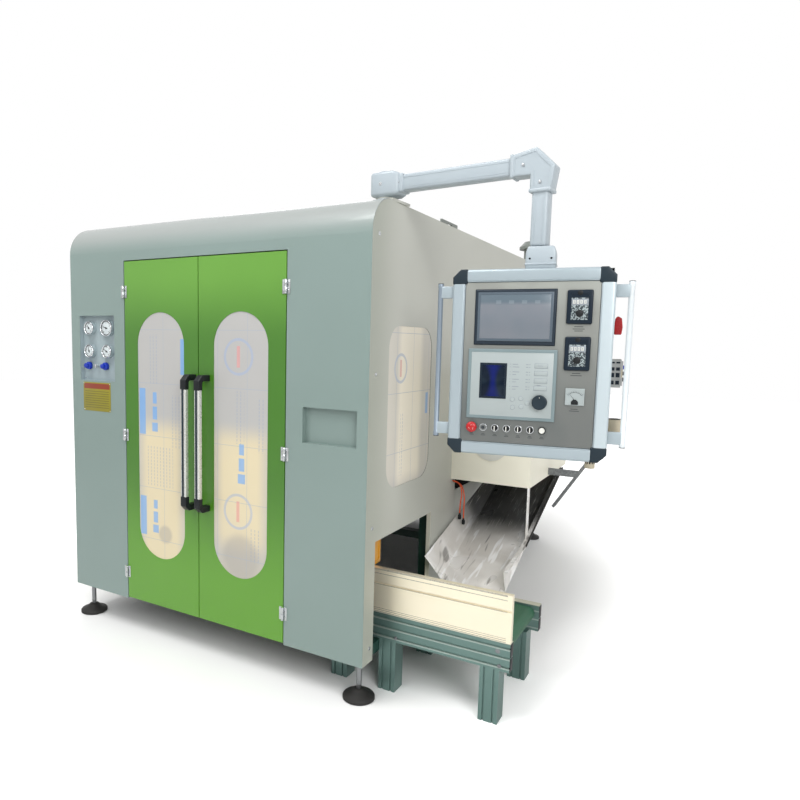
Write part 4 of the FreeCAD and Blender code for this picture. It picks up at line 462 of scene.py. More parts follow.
# Roof: the side's silver below and a duller grey on the ventilator above it, which has weathered.
roof_coat, tree, shader, place = blank("powder coat, silver grey, with a weathered vent")
height = add(tree, "SeparateXYZ", {0: place}).outputs[2]
above = add(tree, "MapRange", {0: height, 1: 2.1105, 2: 2.112}, **SMOOTH)
slow = add(tree, "TexNoise", {"Vector": place, "Scale": 1.2, "Detail": 3.0})
sheet_tone = add(tree, "Mix", {0: slow, 6: colour("#BFBFB6"), 7: colour("#A9ABA1")}, **BLEND)
wire(tree, shader, {"Base Color": add(tree, "Mix", {0: above, 6: sheet_tone, 7: colour("#757B76")}, **BLEND)})
grain(tree, shader, place, 2.2, 0.16, 0.45)
dress(grey_coat, "front_cover")
dress(gauge_coat, "gauge_plate")
dress(side_coat, "right_side_panel", "left_side_panel", "rear_panel", "arm_base")
dress(roof_coat, "roof_panel")
dress(panel_coat, "panel_rear_cover")
dress(green_coat, "door_left", "door_right")
print("painted the sheets, doors and roof")

# %% Enamels
# Brushed-on enamel flows out in low waves, so these three look wetter and lumpier than powder.
# Frame: a green so dark that the machine seems to stand on a shadow.
frame_coat = surface("enamel, dark green", "#1D4036", "#18352D", 300, 4.0, 0.12, 0.4)
# Belt drive: a warm signal yellow with small bright highlights on the fins.
yellow_coat = surface("enamel, machine yellow", "#DB9C1C", "#CC8B15", 200, 4.0, 0.12, 0.35, coat=0.2)
# Extruder drive: a calm dark blue that stays in the background behind the windows.
blue_coat = surface("enamel, drive blue", "#1F4C7C", "#1A416B", 200, 4.0, 0.12, 0.35, coat=0.2)
dress(frame_coat, "base_frame")
dress(blue_coat, "extruder_gearmotor")
print("enamelled the frame and the drives")

# %% [markdown]
# ### Metals
# Rolled, extruded and ground metals differ by their grain: long fine lines along the rolling or drawing
# direction. A noise pattern drawn out along one axis gives those lines.

# %% Cast and extruded aluminium
# Arm castings: a pale bluish coat over cast skin, so highlights are soft and never mirror.
arm_alloy = surface("cast aluminium, pale powder coat", "#AAB4BA", "#A1ACB3", 300, 1.2, 0.05, 0.36)
# Rails: silk-like anodising with upright draw lines that make the highlight long and narrow.
rail_alloy = surface("extruded aluminium, silver anodised", "#A3AFB5", "#99A6AC", 300, 1.4, 0.02, 0.34, 0.2,
                     stretch=(1, 1, 0.05))
# Handle bars: a brighter natural anodising with a slow ripple, so the bar glints unevenly along its length.
bar_alloy = surface("extruded aluminium, natural anodised", "#D4D5D0", "#C6C7C2", 400, 30.0, 0.01, 0.3, 0.5)
# Mould halves: fine mill marks across the block give a satin glint between the warm films.
mould_metal = surface("milled aluminium alloy", "#A9ABAC", "#9DA0A2", 200, 1.6, 0.08, 0.3, 1.0,
                      stretch=(1, 0.06, 1))
dress(mould_metal, "mould_left", "mould_right")
print("aluminium finishes")

# %% Steels
# Shafts and tie bars: upright grinding lines, a sharp but broken mirror.
steel = surface("ground steel", "#8F9193", "#7F8183", 150, 1.2, 0.05, 0.32, 1.0, stretch=(1, 1, 0.05))
# Barrel and die head: brown patches that heat leaves on tool steel, dull and uneven.
cast_steel = surface("tool steel, browned by heat", "#6B625A", "#57504A", 120, 2.5, 0.2, 0.5, 1.0)
# Fasteners: fresh zinc, bright with a small blur, so the screws twinkle.
zinc = surface("bright zinc plate", "#C9CCCE", "#B7BABC", 40, 2.0, 0.03, 0.22, 1.0)
# Gauge bezels: nearly a mirror, the sharpest highlight on the front.
chrome = surface("chrome plate", "#D8DADC", "#CDD0D2", 80, 2.0, 0.01, 0.1, 1.0)
# Hopper: rolling lines run up the cone and stretch its highlight.
hopper_steel = surface("rolled stainless steel", "#B4B4B0", "#A6A6A2", 300, 1.2, 0.05, 0.3, 1.0,
                       stretch=(1, 1, 0.05))
# Panel face: brush lines across the sheet, and a painted reflection: darker below and lighter above, as of a
# dark floor and a light ceiling.
face_steel, tree, shader, place = blank("brushed stainless steel", metallic=0.5)
height = add(tree, "SeparateXYZ", {0: place}).outputs[2]
painted_reflection = add(tree, "MapRange", {0: height, 1: 1.22, 2: 1.76}, **SMOOTH)
tone = add(tree, "Mix", {0: painted_reflection, 6: colour("#656A69"), 7: colour("#A0A39D")}, **BLEND)
slow = add(tree, "TexNoise", {"Vector": place, "Scale": 5.0, "Detail": 2.0})
haze = add(tree, "MapRange", {0: slow, 1: 0.35, 2: 0.65, 4: 0.35}, **SMOOTH)
wire(tree, shader, {"Base Color": add(tree, "Mix", {0: haze, 6: tone, 7: colour("#7F7F7B")}, **BLEND)})
grain(tree, shader, place, 1.1, 0.05, 0.38, stretch=(0.03, 1, 1), turn=PANEL_TURN)
dress(steel, "drive_roller", "idler_roller", "extruder_screw", "clamp_unit", "blow_pin")
dress(zinc, "hinge_pins")
dress(cast_steel, "extruder_barrel", "die_head")
dress(hopper_steel, "hopper", "hopper_lid")
dress(face_steel, "panel_face")
print("steels on clamp, extruder, hopper and panel")

# %% [markdown]
# ### Plastics and rubber
# Moulded parts carry a fine spark-eroded grain. Rubber is darker and rougher, and takes up dust.

# %% Plastic and rubber finishes
# Nylon elbows and switches: nearly black with a low sheen, so the shapes read by their edges.
black_plastic = surface("moulded nylon, black", "#14171A", "#1B1E20", 60, 0.9, 0.05, 0.42, ior=1.5,
                        gloss=0.25)
# Corner caps and strips: a blue cast keeps them apart from the true black beside them.
slate_plastic = surface("moulded ABS, slate", "#1D2B34", "#19262E", 90, 0.9, 0.05, 0.4, ior=1.5, gloss=0.3)
# Regulator knobs: a deep, slightly waxy blue.
blue_plastic = surface("moulded acetal, blue", "#0D33AE", "#0A2890", 40, 0.8, 0.03, 0.3, ior=1.48)
# Stop button and main switch: a smooth signal red with a clear highlight.
red_plastic = surface("moulded ABS, red", "#B8171C", "#A41217", 30, 0.8, 0.03, 0.28, ior=1.5)
# Marks and start button: a warm off-white that never burns out.
white_plastic = surface("moulded ABS, off-white", "#DEDED7", "#D4D4CC", 50, 0.8, 0.03, 0.4, ior=1.5)
# Buzzer housing: an aged beige, duller than the white.
beige_plastic = surface("moulded ABS, beige", "#C3B9A2", "#B6AC95", 60, 0.8, 0.03, 0.45, ior=1.5)
# Screen bezel: dark blue-grey, a step lighter than its rim.
bezel_plastic = surface("moulded ABS, blue-grey", "#222D38", "#1D2832", 80, 0.8, 0.03, 0.35, ior=1.5,
                        gloss=0.3)
# Controller rim: a matt grey-green between the steel face and the white overlay.
trim_plastic = surface("moulded ABS, grey-green", "#77878A", "#6F8083", 80, 0.8, 0.03, 0.4, ior=1.5)
# Feet and trims: dusty black that swallows the light where the machine meets the floor.
rubber = surface("vulcanised rubber, black", "#0F0F0E", "#1D1B18", 90, 1.5, 0.1, 0.75, ior=1.52)
# Belt: a woven-in bump that catches light in dots, on a dark matt green.
belt_cover = surface("PVC conveyor belt, green", "#1F5A3C", "#1A4E34", 200, 2.0, 0.25, 0.55, ior=1.53)
# Cables: a soft, strong orange, the only warm accent under the panel.
jacket = surface("PVC cable jacket, orange", "#E25A2B", "#D44F22", 30, 0.8, 0.03, 0.4, ior=1.53)
dress(belt_cover, "conveyor_belt")
dress(beige_plastic, "panel_side_fittings")
print("plastics ready")

# %% [markdown]
# ## The two sensor cables
# Two orange cables leave the side panel above the chute, sag at once and end in small round plugs that hang
# loose. A cord has one smooth line, so each is a NURBS curve whose control points are the points of its
# route.

# %% Cable tool
def cable(name, route, node):
    """A free cable through route points in mm, of 7 mm diameter."""
    data = bpy.data.curves.new(name, "CURVE")
    data.dimensions = "3D"
    spline = data.splines.new("NURBS")
    spline.points.add(len(route) - 1)
    for point, at in zip(spline.points, route):
        point.co = [*(CORNER + Vector(at) * MM), 1.0]
    spline.order_u = 3
    spline.use_endpoint_u = True
    spline.resolution_u = 12
    data.bevel_depth = 3.5 * MM
    data.bevel_resolution = 5
    data.use_fill_caps = True
    piece = bpy.data.objects.new(name, data)
    bpy.context.collection.objects.link(piece)
    data.materials.append(jacket)
    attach(piece, "cabinet")
    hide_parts(node)
    return piece


long_route = [(0, 985, 806), (38, 985, 806), (60, 978, 745), (52, 970, 690), (52, 970, 640)]
short_route = [(0, 999, 798), (42, 999, 798), (68, 990, 738), (70, 981, 674), (70, 981, 612)]
long_cable = cable("cable_long", long_route, "orange_cable_long")
short_cable = cable("cable_short", short_route, "orange_cable_short")
print("two cables with", len(long_route), "and", len(short_route), "points")

# %% Plugs
plug_profile = [(0, 34), (4.2, 34), (5.2, 31), (5.2, 26), (8.2, 24), (8.8, 20), (8.8, 4), (7.4, 2),
                (7.4, 0), (5.6, 0), (5.6, 5), (0, 5)]


def plug(name, foot):
    piece = turned(name, plug_profile, foot, UP, steps=32)
    cut_each(piece, lambda at, normal: 4 < at.z - foot[2] < 20 and abs(normal.z) < 0.3, 0.3, 0.4)
    return seat(piece, MACHINE, black_plastic, "dark_plastic", replaces=["cable_plugs"])


long_plug = plug("cable_plug_long", (52, 970, 606))
short_plug = plug("cable_plug_short", (70, 981, 578))
print("plugs on both cables")

# %% [markdown]
# ## Windows with their protective film
# The door and side windows are clear acrylic that still has its printed film on: white paper-like plastic
# with faint blue and grey print and the warm light of the machine behind. The print is kept generic: a
# light grid, pale rings, rows of dashes and blue bars. Each shape is a mask computed from the position.

# %% Film tools
DOOR, SIDE = 0, 1
PANE_DEPTH = 3.5


def on_pane(across, along, up):
    """A place on a door pane or the side pane in metres, from its machine places in mm."""
    return (CORNER.x + (along if across == DOOR else -PANE_DEPTH) * MM,
            CORNER.y + (PANE_DEPTH if across == DOOR else along) * MM, up * MM)


def near_patch(tree, place, across, along, up, wide, tall):
    """A mask: 1 on an upright rectangle on a pane or sheet, given by its middle and half sizes in mm."""
    half = (wide * MM, 0.05, tall * MM) if across == DOOR else (0.05, wide * MM, tall * MM)
    return near_box(tree, place, on_pane(across, along, up), half)


def near_ring(tree, place, centre, radius, width, squeeze):
    """A mask: 1 on a ring of a radius and width in metres about a middle, seen along a squeezed-out axis."""
    offset = add(tree, "VectorMath", {0: place, 1: centre}, operation="SUBTRACT")
    flat = add(tree, "VectorMath", {0: offset, 1: squeeze}, operation="MULTIPLY")
    reach = add(tree, "VectorMath", {0: flat}, operation="LENGTH")
    return add(tree, "Math", {0: reach, 1: radius, 2: width / 2}, operation="COMPARE")


def stripes(tree, place, axis, pitch, share):
    """A mask of stripes across an axis: 1 on a share of each pitch, which is in metres."""
    part = add(tree, "SeparateXYZ", {0: place}).outputs[axis]
    rest = add(tree, "Math", {0: add(tree, "Math", {0: part, 1: pitch}, operation="DIVIDE")},
               operation="FRACT")
    return add(tree, "Math", {0: rest, 1: share}, operation="LESS_THAN")


def printed(tree, under, mask, share, ink):
    """Print an ink over a tone where a mask is 1, with a share of its full strength."""
    strength = add(tree, "Math", {0: mask, 1: share}, operation="MULTIPLY")
    return add(tree, "Mix", {0: strength, 6: under, 7: colour(ink)}, **BLEND)


print("film tools ready")

# %% Film on the windows
# The film hides the view like thin paper: flat grey-white above, a warm glow with soft ends where the light
# inside stands, faint print over it, and a fine wrinkle that keeps the reflection of the lamps dull.
def film(name, across, middle, warm_top, warm_low, bars, rings, rows, shadows=(), warm="#D2C5A5"):
    """Printed film on a pane; the middle and the warm limits are in metres, the print is in mm."""
    material, tree, shader, place = blank(name, ior=1.49)
    flat = (1, 0, 1) if across == DOOR else (0, 1, 1)
    part = add(tree, "SeparateXYZ", {0: place}).outputs
    off = add(tree, "Math", {0: part[across], 1: middle}, operation="SUBTRACT")
    off = add(tree, "Math", {0: off}, operation="ABSOLUTE")
    upper = add(tree, "MapRange", {0: part[2], 1: warm_top, 2: warm_top - 0.13}, **SMOOTH)
    lower = add(tree, "MapRange", {0: part[2], 1: warm_low, 2: warm_low + 0.12, 3: 0.3, 4: 1.0}, **SMOOTH)
    inner = add(tree, "MapRange", {0: off, 1: 0.09, 2: 0.15, 3: 1.0, 4: 0.45}, **SMOOTH)
    cloud = add(tree, "TexNoise", {"Vector": place, "Scale": 4.0, "Detail": 1.0})
    cloud = add(tree, "MapRange", {0: cloud, 1: 0.2, 2: 0.5, 3: 0.85, 4: 1.0}, **SMOOTH)
    glow = add(tree, "Math", {0: upper, 1: lower}, operation="MULTIPLY")
    glow = add(tree, "Math", {0: glow, 1: inner}, operation="MULTIPLY")
    glow = add(tree, "Math", {0: glow, 1: cloud}, operation="MULTIPLY")
    tone = add(tree, "Mix", {0: glow, 6: colour("#ACABA9"), 7: colour(warm)}, **BLEND)
    for along, up, radius in shadows:
        far = add(tree, "VectorMath", {0: place, 1: on_pane(across, along, up)}, operation="DISTANCE")
        dim = add(tree, "MapRange", {0: far, 1: radius * MM * 0.6, 2: radius * MM, 3: 0.5, 4: 0.0}, **SMOOTH)
        tone = add(tree, "Mix", {0: dim, 6: tone, 7: colour("#9A9590")}, **BLEND)
    grid = add(tree, "Math", {0: stripes(tree, place, across, 0.172, 0.016),
                              1: stripes(tree, place, 2, 0.262, 0.011)}, operation="MAXIMUM")
    tone = printed(tree, tone, grid, 0.5, "#93A0B4")
    for row in rows:
        dashes = add(tree, "Math", {0: stripes(tree, place, 2, 0.017, 0.7),
                                    1: stripes(tree, place, across, 0.021, 0.25)}, operation="MULTIPLY")
        dashes = add(tree, "Math", {0: near_patch(tree, place, across, *row), 1: dashes},
                     operation="MULTIPLY")
        tone = printed(tree, tone, dashes, 0.45, "#8594B0")
    for bar in bars:
        tone = printed(tree, tone, near_patch(tree, place, across, *bar), 0.7, "#5B9BD8")
    for along, up, radius in rings:
        rim = near_ring(tree, place, on_pane(across, along, up), radius * MM, 0.012, flat)
        tone = printed(tree, tone, rim, 0.5, "#8FA3C6")
        tone = printed(tree, tone, near_patch(tree, place, across, along, up, 9, radius * 0.62), 0.6,
                       "#D58A88")
    wire(tree, shader, {"Base Color": tone})
    grain(tree, shader, place, 3.0, 0.01, 0.35)
    return material


left_film = film("acrylic pane with printed film, left", DOOR, -0.70425, 1.17, 0.30,
                 bars=[(-1275, 1170, 21, 115), (-1190, 1095, 19, 22), (-1190, 1165, 15, 32),
                       (-1190, 1240, 13, 28), (-1275, 640, 21, 100), (-1190, 580, 19, 20),
                       (-1190, 640, 15, 28), (-1190, 705, 13, 22), (-1004, 1445, 14, 85)],
                 rings=[], rows=[(-1190, 1430, 30, 120), (-1050, 1130, 30, 130), (-1160, 900, 90, 100)],
                 shadows=[(-1125, 560, 55)])
right_film = film("acrylic pane with printed film, right", DOOR, -0.20925, 1.17, 0.52,
                  bars=[(-645, 900, 21, 22), (-645, 965, 16, 30), (-645, 1035, 14, 25)],
                  rings=[(-665, 1455, 78), (-665, 745, 78)],
                  rows=[(-660, 1180, 30, 120), (-540, 1150, 20, 120), (-560, 600, 30, 80)],
                  shadows=[(-650, 530, 130)])
side_film = film("acrylic pane with printed film, side", SIDE, -1.0585, 1.75, 0.85,
                 bars=[(596, 1250, 14, 50)], rings=[(300, 1420, 60)], rows=[(330, 1080, 20, 140)],
                 warm="#EDE5D3")
dress(left_film, "door_window_left")
dress(right_film, "door_window_right")
dress(side_film, "side_window")
print("three windows with film")

# %% [markdown]
# ## Door handles
# Each handle is a drawn aluminium bar with a dark plastic strip on its inner side, held off the door by two
# chunky nylon elbows. The elbow is drawn from the side as an outline, pushed to its width and then softened.

# %% Door handles
bar = sink(rounded("bar", (-15, -73, 784), (15, -53, 1307), 2.5), FRONT, 5.0, 1.6)
strip = rounded("strip", (-9.5, -74.2, 790), (1.5, -70, 1301), 0.8)
elbows = []
for tip, inner, way in ((1367, 1298, 1), (724, 793, -1)):
    outline = [(0, tip), (-50, tip), (-75.5, tip - way * 25), (-75.5, inner), (-50.5, inner),
               (-50.5, tip - way * 34), (-44, tip - way * 28), (0, tip - way * 28)]
    elbows.append(round_edges(plate("elbow", [(-17, y, z) for y, z in outline], (34, 0, 0)), 3.0))
stamp([("_bar", bar, bar_alloy, "aluminium"), ("_strip", strip, slate_plastic, "dark_plastic"),
       ("_elbows", join("elbows", elbows), black_plastic, "dark_plastic")], MACHINE,
      [("door_handle_left", (-931, 0, 0), "left_door", ["door_handle_left"]),
       ("door_handle_right", (-847, 0, 0), "right_door", ["door_handle_right"])])
print("two door handles with elbows")

# %% [markdown]
# ## Hinges
# Three bright zinc hinges carry each door. The frame already has their leaves and knuckles, so here each leaf
# gets a thin bright cover with two screws, and each knuckle gets a plated sleeve round it. One cover and one
# sleeve are drawn, then copied to all twelve places.

# %% Hinge leaves, screws and sleeves
screw = turned("screw", [(0, 0.2), (3.9, 0.2), (4.3, 0.7), (2.6, 1.8), (0, 2.1)], (0, -2.7, 0), FRONT,
               steps=20)
driver_slot = rounded("drive", (-2.2, -5.0, -0.35), (2.2, -4.5, 0.35), 0.1, 1)
leaf = join("leaf", [rounded("leaf", (-8.75, -2.9, -30), (8.75, -1.9, 30), 0.35, 2),
                     *shifted(screw, [(0, 0, -17), (0, 0, 17)]),
                     *shifted(driver_slot, [(0, 0, -17), (0, 0, 17)])])
sleeve = turned("sleeve", [(5.9, 0), (5.9, 29.6), (6.2, 29.6), (6.5, 29.2), (6.5, 0.4), (6.2, 0), (5.9, 0)],
                (0, -8, 0), UP, steps=24)
leaf_rows, sleeve_rows = [], []
for door, axis_x, out in (("left", -1393.5, -11.75), ("right", -403.5, 11.75)):
    for row, middle in (("low", 322), ("middle", 1041), ("top", 1759)):
        for half, body, way, foot in (("fixed", "cabinet", 1, -30), ("moving", f"{door}_door", -1, 0.4)):
            leaf_rows.append((f"hinge_{door}_{row}_{half}", (axis_x + way * out, 0, middle), body, ()))
            sleeve_rows.append((f"knuckle_{door}_{row}_{half}", (axis_x, 0, middle + foot), body, ()))
stamp([("", leaf, zinc, "chrome")], MACHINE, leaf_rows)
stamp([("", sleeve, zinc, "chrome")], MACHINE, sleeve_rows)
print(len(leaf_rows), "hinge leaves and", len(sleeve_rows), "knuckle sleeves")

# %% [markdown]
# ## Pressure gauges
# Four round gauges sit in the tray behind the cut-out; the top right one is larger. Each has a chrome
# bezel, a pale dial with a scale over 270 degrees and a dark needle. One scale mark is drawn and turned
# round the dial.

# %% Gauges
# The dial is matt print, so the dark scale stays readable while the bezel round it glints.
dial_face = surface("printed dial, pale grey", "#CDD4D6", "#C4CCCE", 60, 1.0, 0.01, 0.3, ior=1.5)


def gauge(name, x, z, radius, needle_angle):
    bezel = turned(name + "_bezel", [(radius - 5, 0), (radius + 0.8, 0), (radius + 0.8, 5), (radius - 1, 7.5),
                                     (radius - 3, 7.5), (radius - 4.5, 5.5), (radius - 5, 2),
                                     (radius - 5, 0)], (x, 7, z), FRONT, steps=40)
    seat(bezel, MACHINE, chrome, "chrome")
    dial = turned(name + "_dial", [(0, 0), (radius - 4, 0), (radius - 4, 1.6), (radius - 4.6, 2.0), (0, 2.0)],
                  (x, 5.8, z), FRONT, steps=40)
    seat(dial, MACHINE, dial_face, "white_plastic")
    parts = [turned("ring", [(radius * 0.80, 0), (radius * 0.92, 0), (radius * 0.92, 0.9),
                             (radius * 0.80, 0.6), (radius * 0.80, 0)], (x, 4.0, z), FRONT, steps=40)]
    for inner, half, counts in ((0.55, 1.1, (0, 3, 6, 9, 12)), (0.66, 0.7, (1, 2, 4, 5, 7, 8, 10, 11))):
        mark = block("mark", (x - half, 3.3, z + radius * inner), (x + half, 3.9, z + radius * 0.82))
        parts += spun(mark, (x, 0, z), [math.radians(count * 22.5 - 135) for count in counts])
    hand = plate("hand", [(x - 2.6, 2.4, z - radius * 0.24), (x + 2.6, 2.4, z - radius * 0.24),
                          (x + 0.8, 2.4, z + radius * 0.64), (x - 0.8, 2.4, z + radius * 0.64)], (0, 0.6, 0))
    parts += spun(hand, (x, 0, z), [math.radians(needle_angle)])
    parts.append(turned("hub", [(0, 0), (4.4, 0), (4.4, 1.8), (3.2, 2.6), (0, 2.6)], (x, 3.4, z), FRONT,
                        steps=20))
    seat(join(name + "_scale_and_hand", parts), MACHINE, black_plastic, "dark_plastic")


gauge("gauge_top_left", -1669, 1580, 34, -40)
gauge("gauge_top_right", -1535, 1580, 42, -75)
gauge("gauge_low_left", -1669, 1460, 34, -20)
gauge("gauge_low_right", -1535, 1460, 34, -60)
print("four gauges with bezel, dial, scale and hand")

# %% [markdown]
# ## Regulator knobs
# Two blue knobs set the air pressure. One is turned from a profile, every second strip of its barrel is
# raised a little, which gives the grip ribs of the moulded knob, and it is copied to both places.

# %% Regulator knobs
def strip_number(at, x, z, degrees):
    """Which strip round an axis along Y a face lies in, with strips of some degrees."""
    return int((math.degrees(math.atan2(at.z - z, at.x - x)) + 360) / degrees)


knob = turned("knob", [(0, 39), (9.5, 39), (11.5, 37.5), (12.4, 34), (13.2, 24), (18.6, 20.5), (19.4, 17),
                       (19.4, 5.5), (18.2, 4), (4.5, 4), (4.5, 0), (0, 0)], (0, 24.2, 0), FRONT, steps=36)
cut_each(knob, lambda at, normal: (abs(normal.y) < 0.3 and 3 < 24.2 - at.y < 33 and at.xz.length > 9
                                   and strip_number(at, 0, 0, 10) % 2 == 0), 0.2, -0.6)
stamp([("_grip", knob, blue_plastic, "blue_plastic")], MACHINE,
      [(name, (x, 0, 1383), name + "_body", [name]) for name, x in (("regulator_knob_left", -1681),
                                                                    ("regulator_knob_right", -1554))])
fitting = turned("fitting_between_regulators", [(0, 0), (8.6, 0), (8.6, 3), (7, 4), (7, 9), (9.4, 10),
                                                (9.4, 15), (7.5, 16.5), (0, 16.5)],
                 (-1617.5, 14, 1383), FRONT, steps=24)
seat(fitting, MACHINE, zinc, "chrome")
print("two ribbed knobs and the fitting between them")

# %% [markdown]
# ## The yellow plate and the gauge plate's screws
# Under the gauges a thin plate with a dark red band is riveted to the sheet. It carries only fields of
# colour and plain lines.

# %% Plate on the front sheet
# Screen print on aluminium: a mustard field that is slightly patchy, with flat red and olive inks over it.
notice = rounded("operating_plate", (-1713, -1.4, 1146), (-1504, 0, 1297), 0.5, 2)
plate_paint, tree, shader, place = blank("screen-printed aluminium, yellow")
speck = add(tree, "TexNoise", {"Vector": place, "Scale": 14.0, "Detail": 3.0})
field = add(tree, "Mix", {0: speck, 6: colour("#8A811F"), 7: colour("#80781B")}, **BLEND)
band = near_patch(tree, place, DOOR, -1608.5, 1277, 98, 14)
field = add(tree, "Mix", {0: band, 6: field, 7: colour("#7E2F16")}, **BLEND)
rule = add(tree, "Math", {0: near_patch(tree, place, DOOR, -1608.5, 1205, 92, 48),
                          1: stripes(tree, place, 2, 0.012, 0.28)}, operation="MULTIPLY")
wire(tree, shader, {"Base Color": printed(tree, field, rule, 0.75, "#4F4C22")})
grain(tree, shader, place, 2.0, 0.03, 0.4)
seat(notice, MACHINE, plate_paint, "yellow_paint")
rivets = turned_set("operating_plate_rivets", [(0, 0), (3.0, 0), (2.4, 1.0), (0, 1.4)],
                    [(x, -1.2, z) for x, z in ((-1707, 1152), (-1510, 1152), (-1707, 1291), (-1510, 1291))],
                    FRONT, 16)
seat(rivets, MACHINE, zinc, "chrome")
screws = turned_set("gauge_plate_screws", [(0, 0), (4.5, 0), (3.6, 1.8), (1.8, 2.2), (1.8, 1.2), (0, 1.2)],
                    [(x, 25.2, z) for x, z in ((-1724, 1317), (-1480, 1317), (-1724, 1633), (-1480, 1633))],
                    FRONT, 18)
seat(screws, MACHINE, zinc, "chrome")
print("plate, rivets and screws")

# %% [markdown]
# ## Levelling feet
# Four black rubber feet on threaded rods carry the frame. The rod's thread is a row of turned ridges: at this
# size they look like a helix and have far fewer faces. The real pitch is about 3 mm; it is drawn 8 mm so
# that it shows.

# %% Levelling feet
thread = []
for step in range(14):
    thread += [(11.2, 62 + step * 8), (12.4, 65 + step * 8), (12.4, 66 + step * 8), (11.2, 69 + step * 8)]
pad = turned("pad", [(0, 0), (66, 0), (70, 3), (70, 14), (66, 19), (40, 26), (24, 44), (18, 47), (0, 47)],
             (0, 0, 0), UP, steps=48)
rod = turned("rod", [(0, 40), (11.2, 40)] + thread + [(11.2, 176), (0, 176)], (0, 0, 0), UP, steps=24)
nut = turned("nut", [(11, 150), (19, 150), (21, 152), (21, 168), (19, 170), (11, 170), (11, 150)],
             (0, 0, 0), UP, steps=6)
feet = [(-50, 70), (-1750, 70), (-50, 2930), (-1750, 2930)]
stamp([("_pad", pad, rubber, "black_rubber"), ("_rod", rod, steel, "steel"),
       ("_nut", round_edges(nut, 0.8, 2), zinc, "steel", 25)], MACHINE,
      [(f"foot_{number}", (x, y, 0), "cabinet", ["levelling_feet"])
       for number, (x, y) in enumerate(feet, start=1)])
print("four levelling feet")

# %% [markdown]
# ## Conveyor, chute and outlet hood
# The conveyor's frame is extruded aluminium: the guard boards on top are pale, the rails and legs below
# carry a painted reflection of the floor in a darker grey-green. The chute is stainless sheet, scratched
# along by everything that slid down it. Hood and cable tray are one node, so a mask by position gives the
# tray its own galvanised finish.

# %% Conveyor finish
# A pale satin board over rails made darker by a painted reflection, with painted highlights on the slot
# edges:
# the eye reads two profiles, not one painted beam.
profile_alloy, tree, shader, place = blank("extruded aluminium, conveyor profile", metallic=0.55)
height = add(tree, "SeparateXYZ", {0: place}).outputs[2]
on_board = add(tree, "MapRange", {0: height, 1: 0.347, 2: 0.352}, **SMOOTH)
slow = add(tree, "TexNoise", {"Vector": place, "Scale": 3.0, "Detail": 2.0})
pale = add(tree, "Mix", {0: slow, 6: colour("#F6EDD5"), 7: colour("#EAE1CA")}, **BLEND)
dark = add(tree, "Mix", {0: slow, 6: colour("#6F8984"), 7: colour("#56706B")}, **BLEND)
on_rail = add(tree, "MapRange", {0: height, 1: 0.229, 2: 0.230}, **SMOOTH)
edges = add(tree, "Math", {0: stripes(tree, place, 2, 0.040, 0.16), 1: on_rail}, operation="MULTIPLY")
dark = printed(tree, dark, edges, 0.5, "#B9C4BC")
wire(tree, shader, {"Base Color": add(tree, "Mix", {0: on_board, 6: dark, 7: pale}, **BLEND)})
grain(tree, shader, place, 1.5, 0.05, 0.36, stretch=(0.03, 1, 1))
dress(profile_alloy, "conveyor_frame")
print("conveyor profile with a pale guard and darker rails")

# %% Ribs on the guard board
ribs = rounded_set("guard_ribs", [((-256, 189.0, low), (542, 190.6, high)) for low, high in (
    (352, 355), (360, 362.5), (368, 370), (476, 479), (524, 527), (541, 547.5))], 0.5)
# The ribs' shaded undersides: a darker line that draws the board's profile at this distance.
rib_alloy = surface("extruded aluminium, shaded guard rib", "#B4B0A2", "#A5A193", 500, 8.0, 0.02, 0.3, 0.2)
seat(ribs, MACHINE, rib_alloy, "aluminium")
print("six ribs along the guard")

# %% Chute finish
# Bright sheet with smeared dark and white streaks, which are painted reflections, thin lengthwise scratches
# and shallow dents that bend the highlights. Its upper half is painted dark: painted shade and painted
# reflection of the dark underside of the hood.
chute_steel, tree, shader, place = blank("polished stainless sheet, scratched", metallic=0.2)
slow = add(tree, "TexNoise", {"Vector": place, "Scale": 5.0, "Detail": 2.0, "Distortion": 0.4})
cloud = add(tree, "MapRange", {0: slow, 1: 0.35, 2: 0.65}, **SMOOTH)
base = add(tree, "Mix", {0: cloud, 6: colour("#F1EFEC"), 7: colour("#D6D2CC")}, **BLEND)
laid = add(tree, "Mapping", {"Vector": place, "Scale": (1.0, 0.03, 0.06), "Rotation": (0.36, 0, 0.12)})
scratch = add(tree, "TexNoise", {"Vector": laid, "Scale": 260.0, "Detail": 3.0})
marks = add(tree, "MapRange", {0: scratch, 1: 0.60, 2: 0.70}, **SMOOTH)
swept = add(tree, "Mapping", {"Vector": place, "Scale": (1.0, 0.16, 0.16), "Rotation": (0, 0, 0.25)})
streak = add(tree, "TexNoise", {"Vector": swept, "Scale": 30.0, "Detail": 2.0, "Distortion": 0.5})
# Painted reflections: dark streaks smeared along the slope, then white glints.
painted_dark_streaks = add(tree, "MapRange", {0: streak, 1: 0.40, 2: 0.30, 4: 0.75}, **SMOOTH)
base = add(tree, "Mix", {0: painted_dark_streaks, 6: base, 7: colour("#77736F")}, **BLEND)
glare = add(tree, "MapRange", {0: streak, 1: 0.58, 2: 0.66, 4: 0.8}, **SMOOTH)
base = add(tree, "Mix", {0: glare, 6: base, 7: colour("#FFFFFF")}, **BLEND)
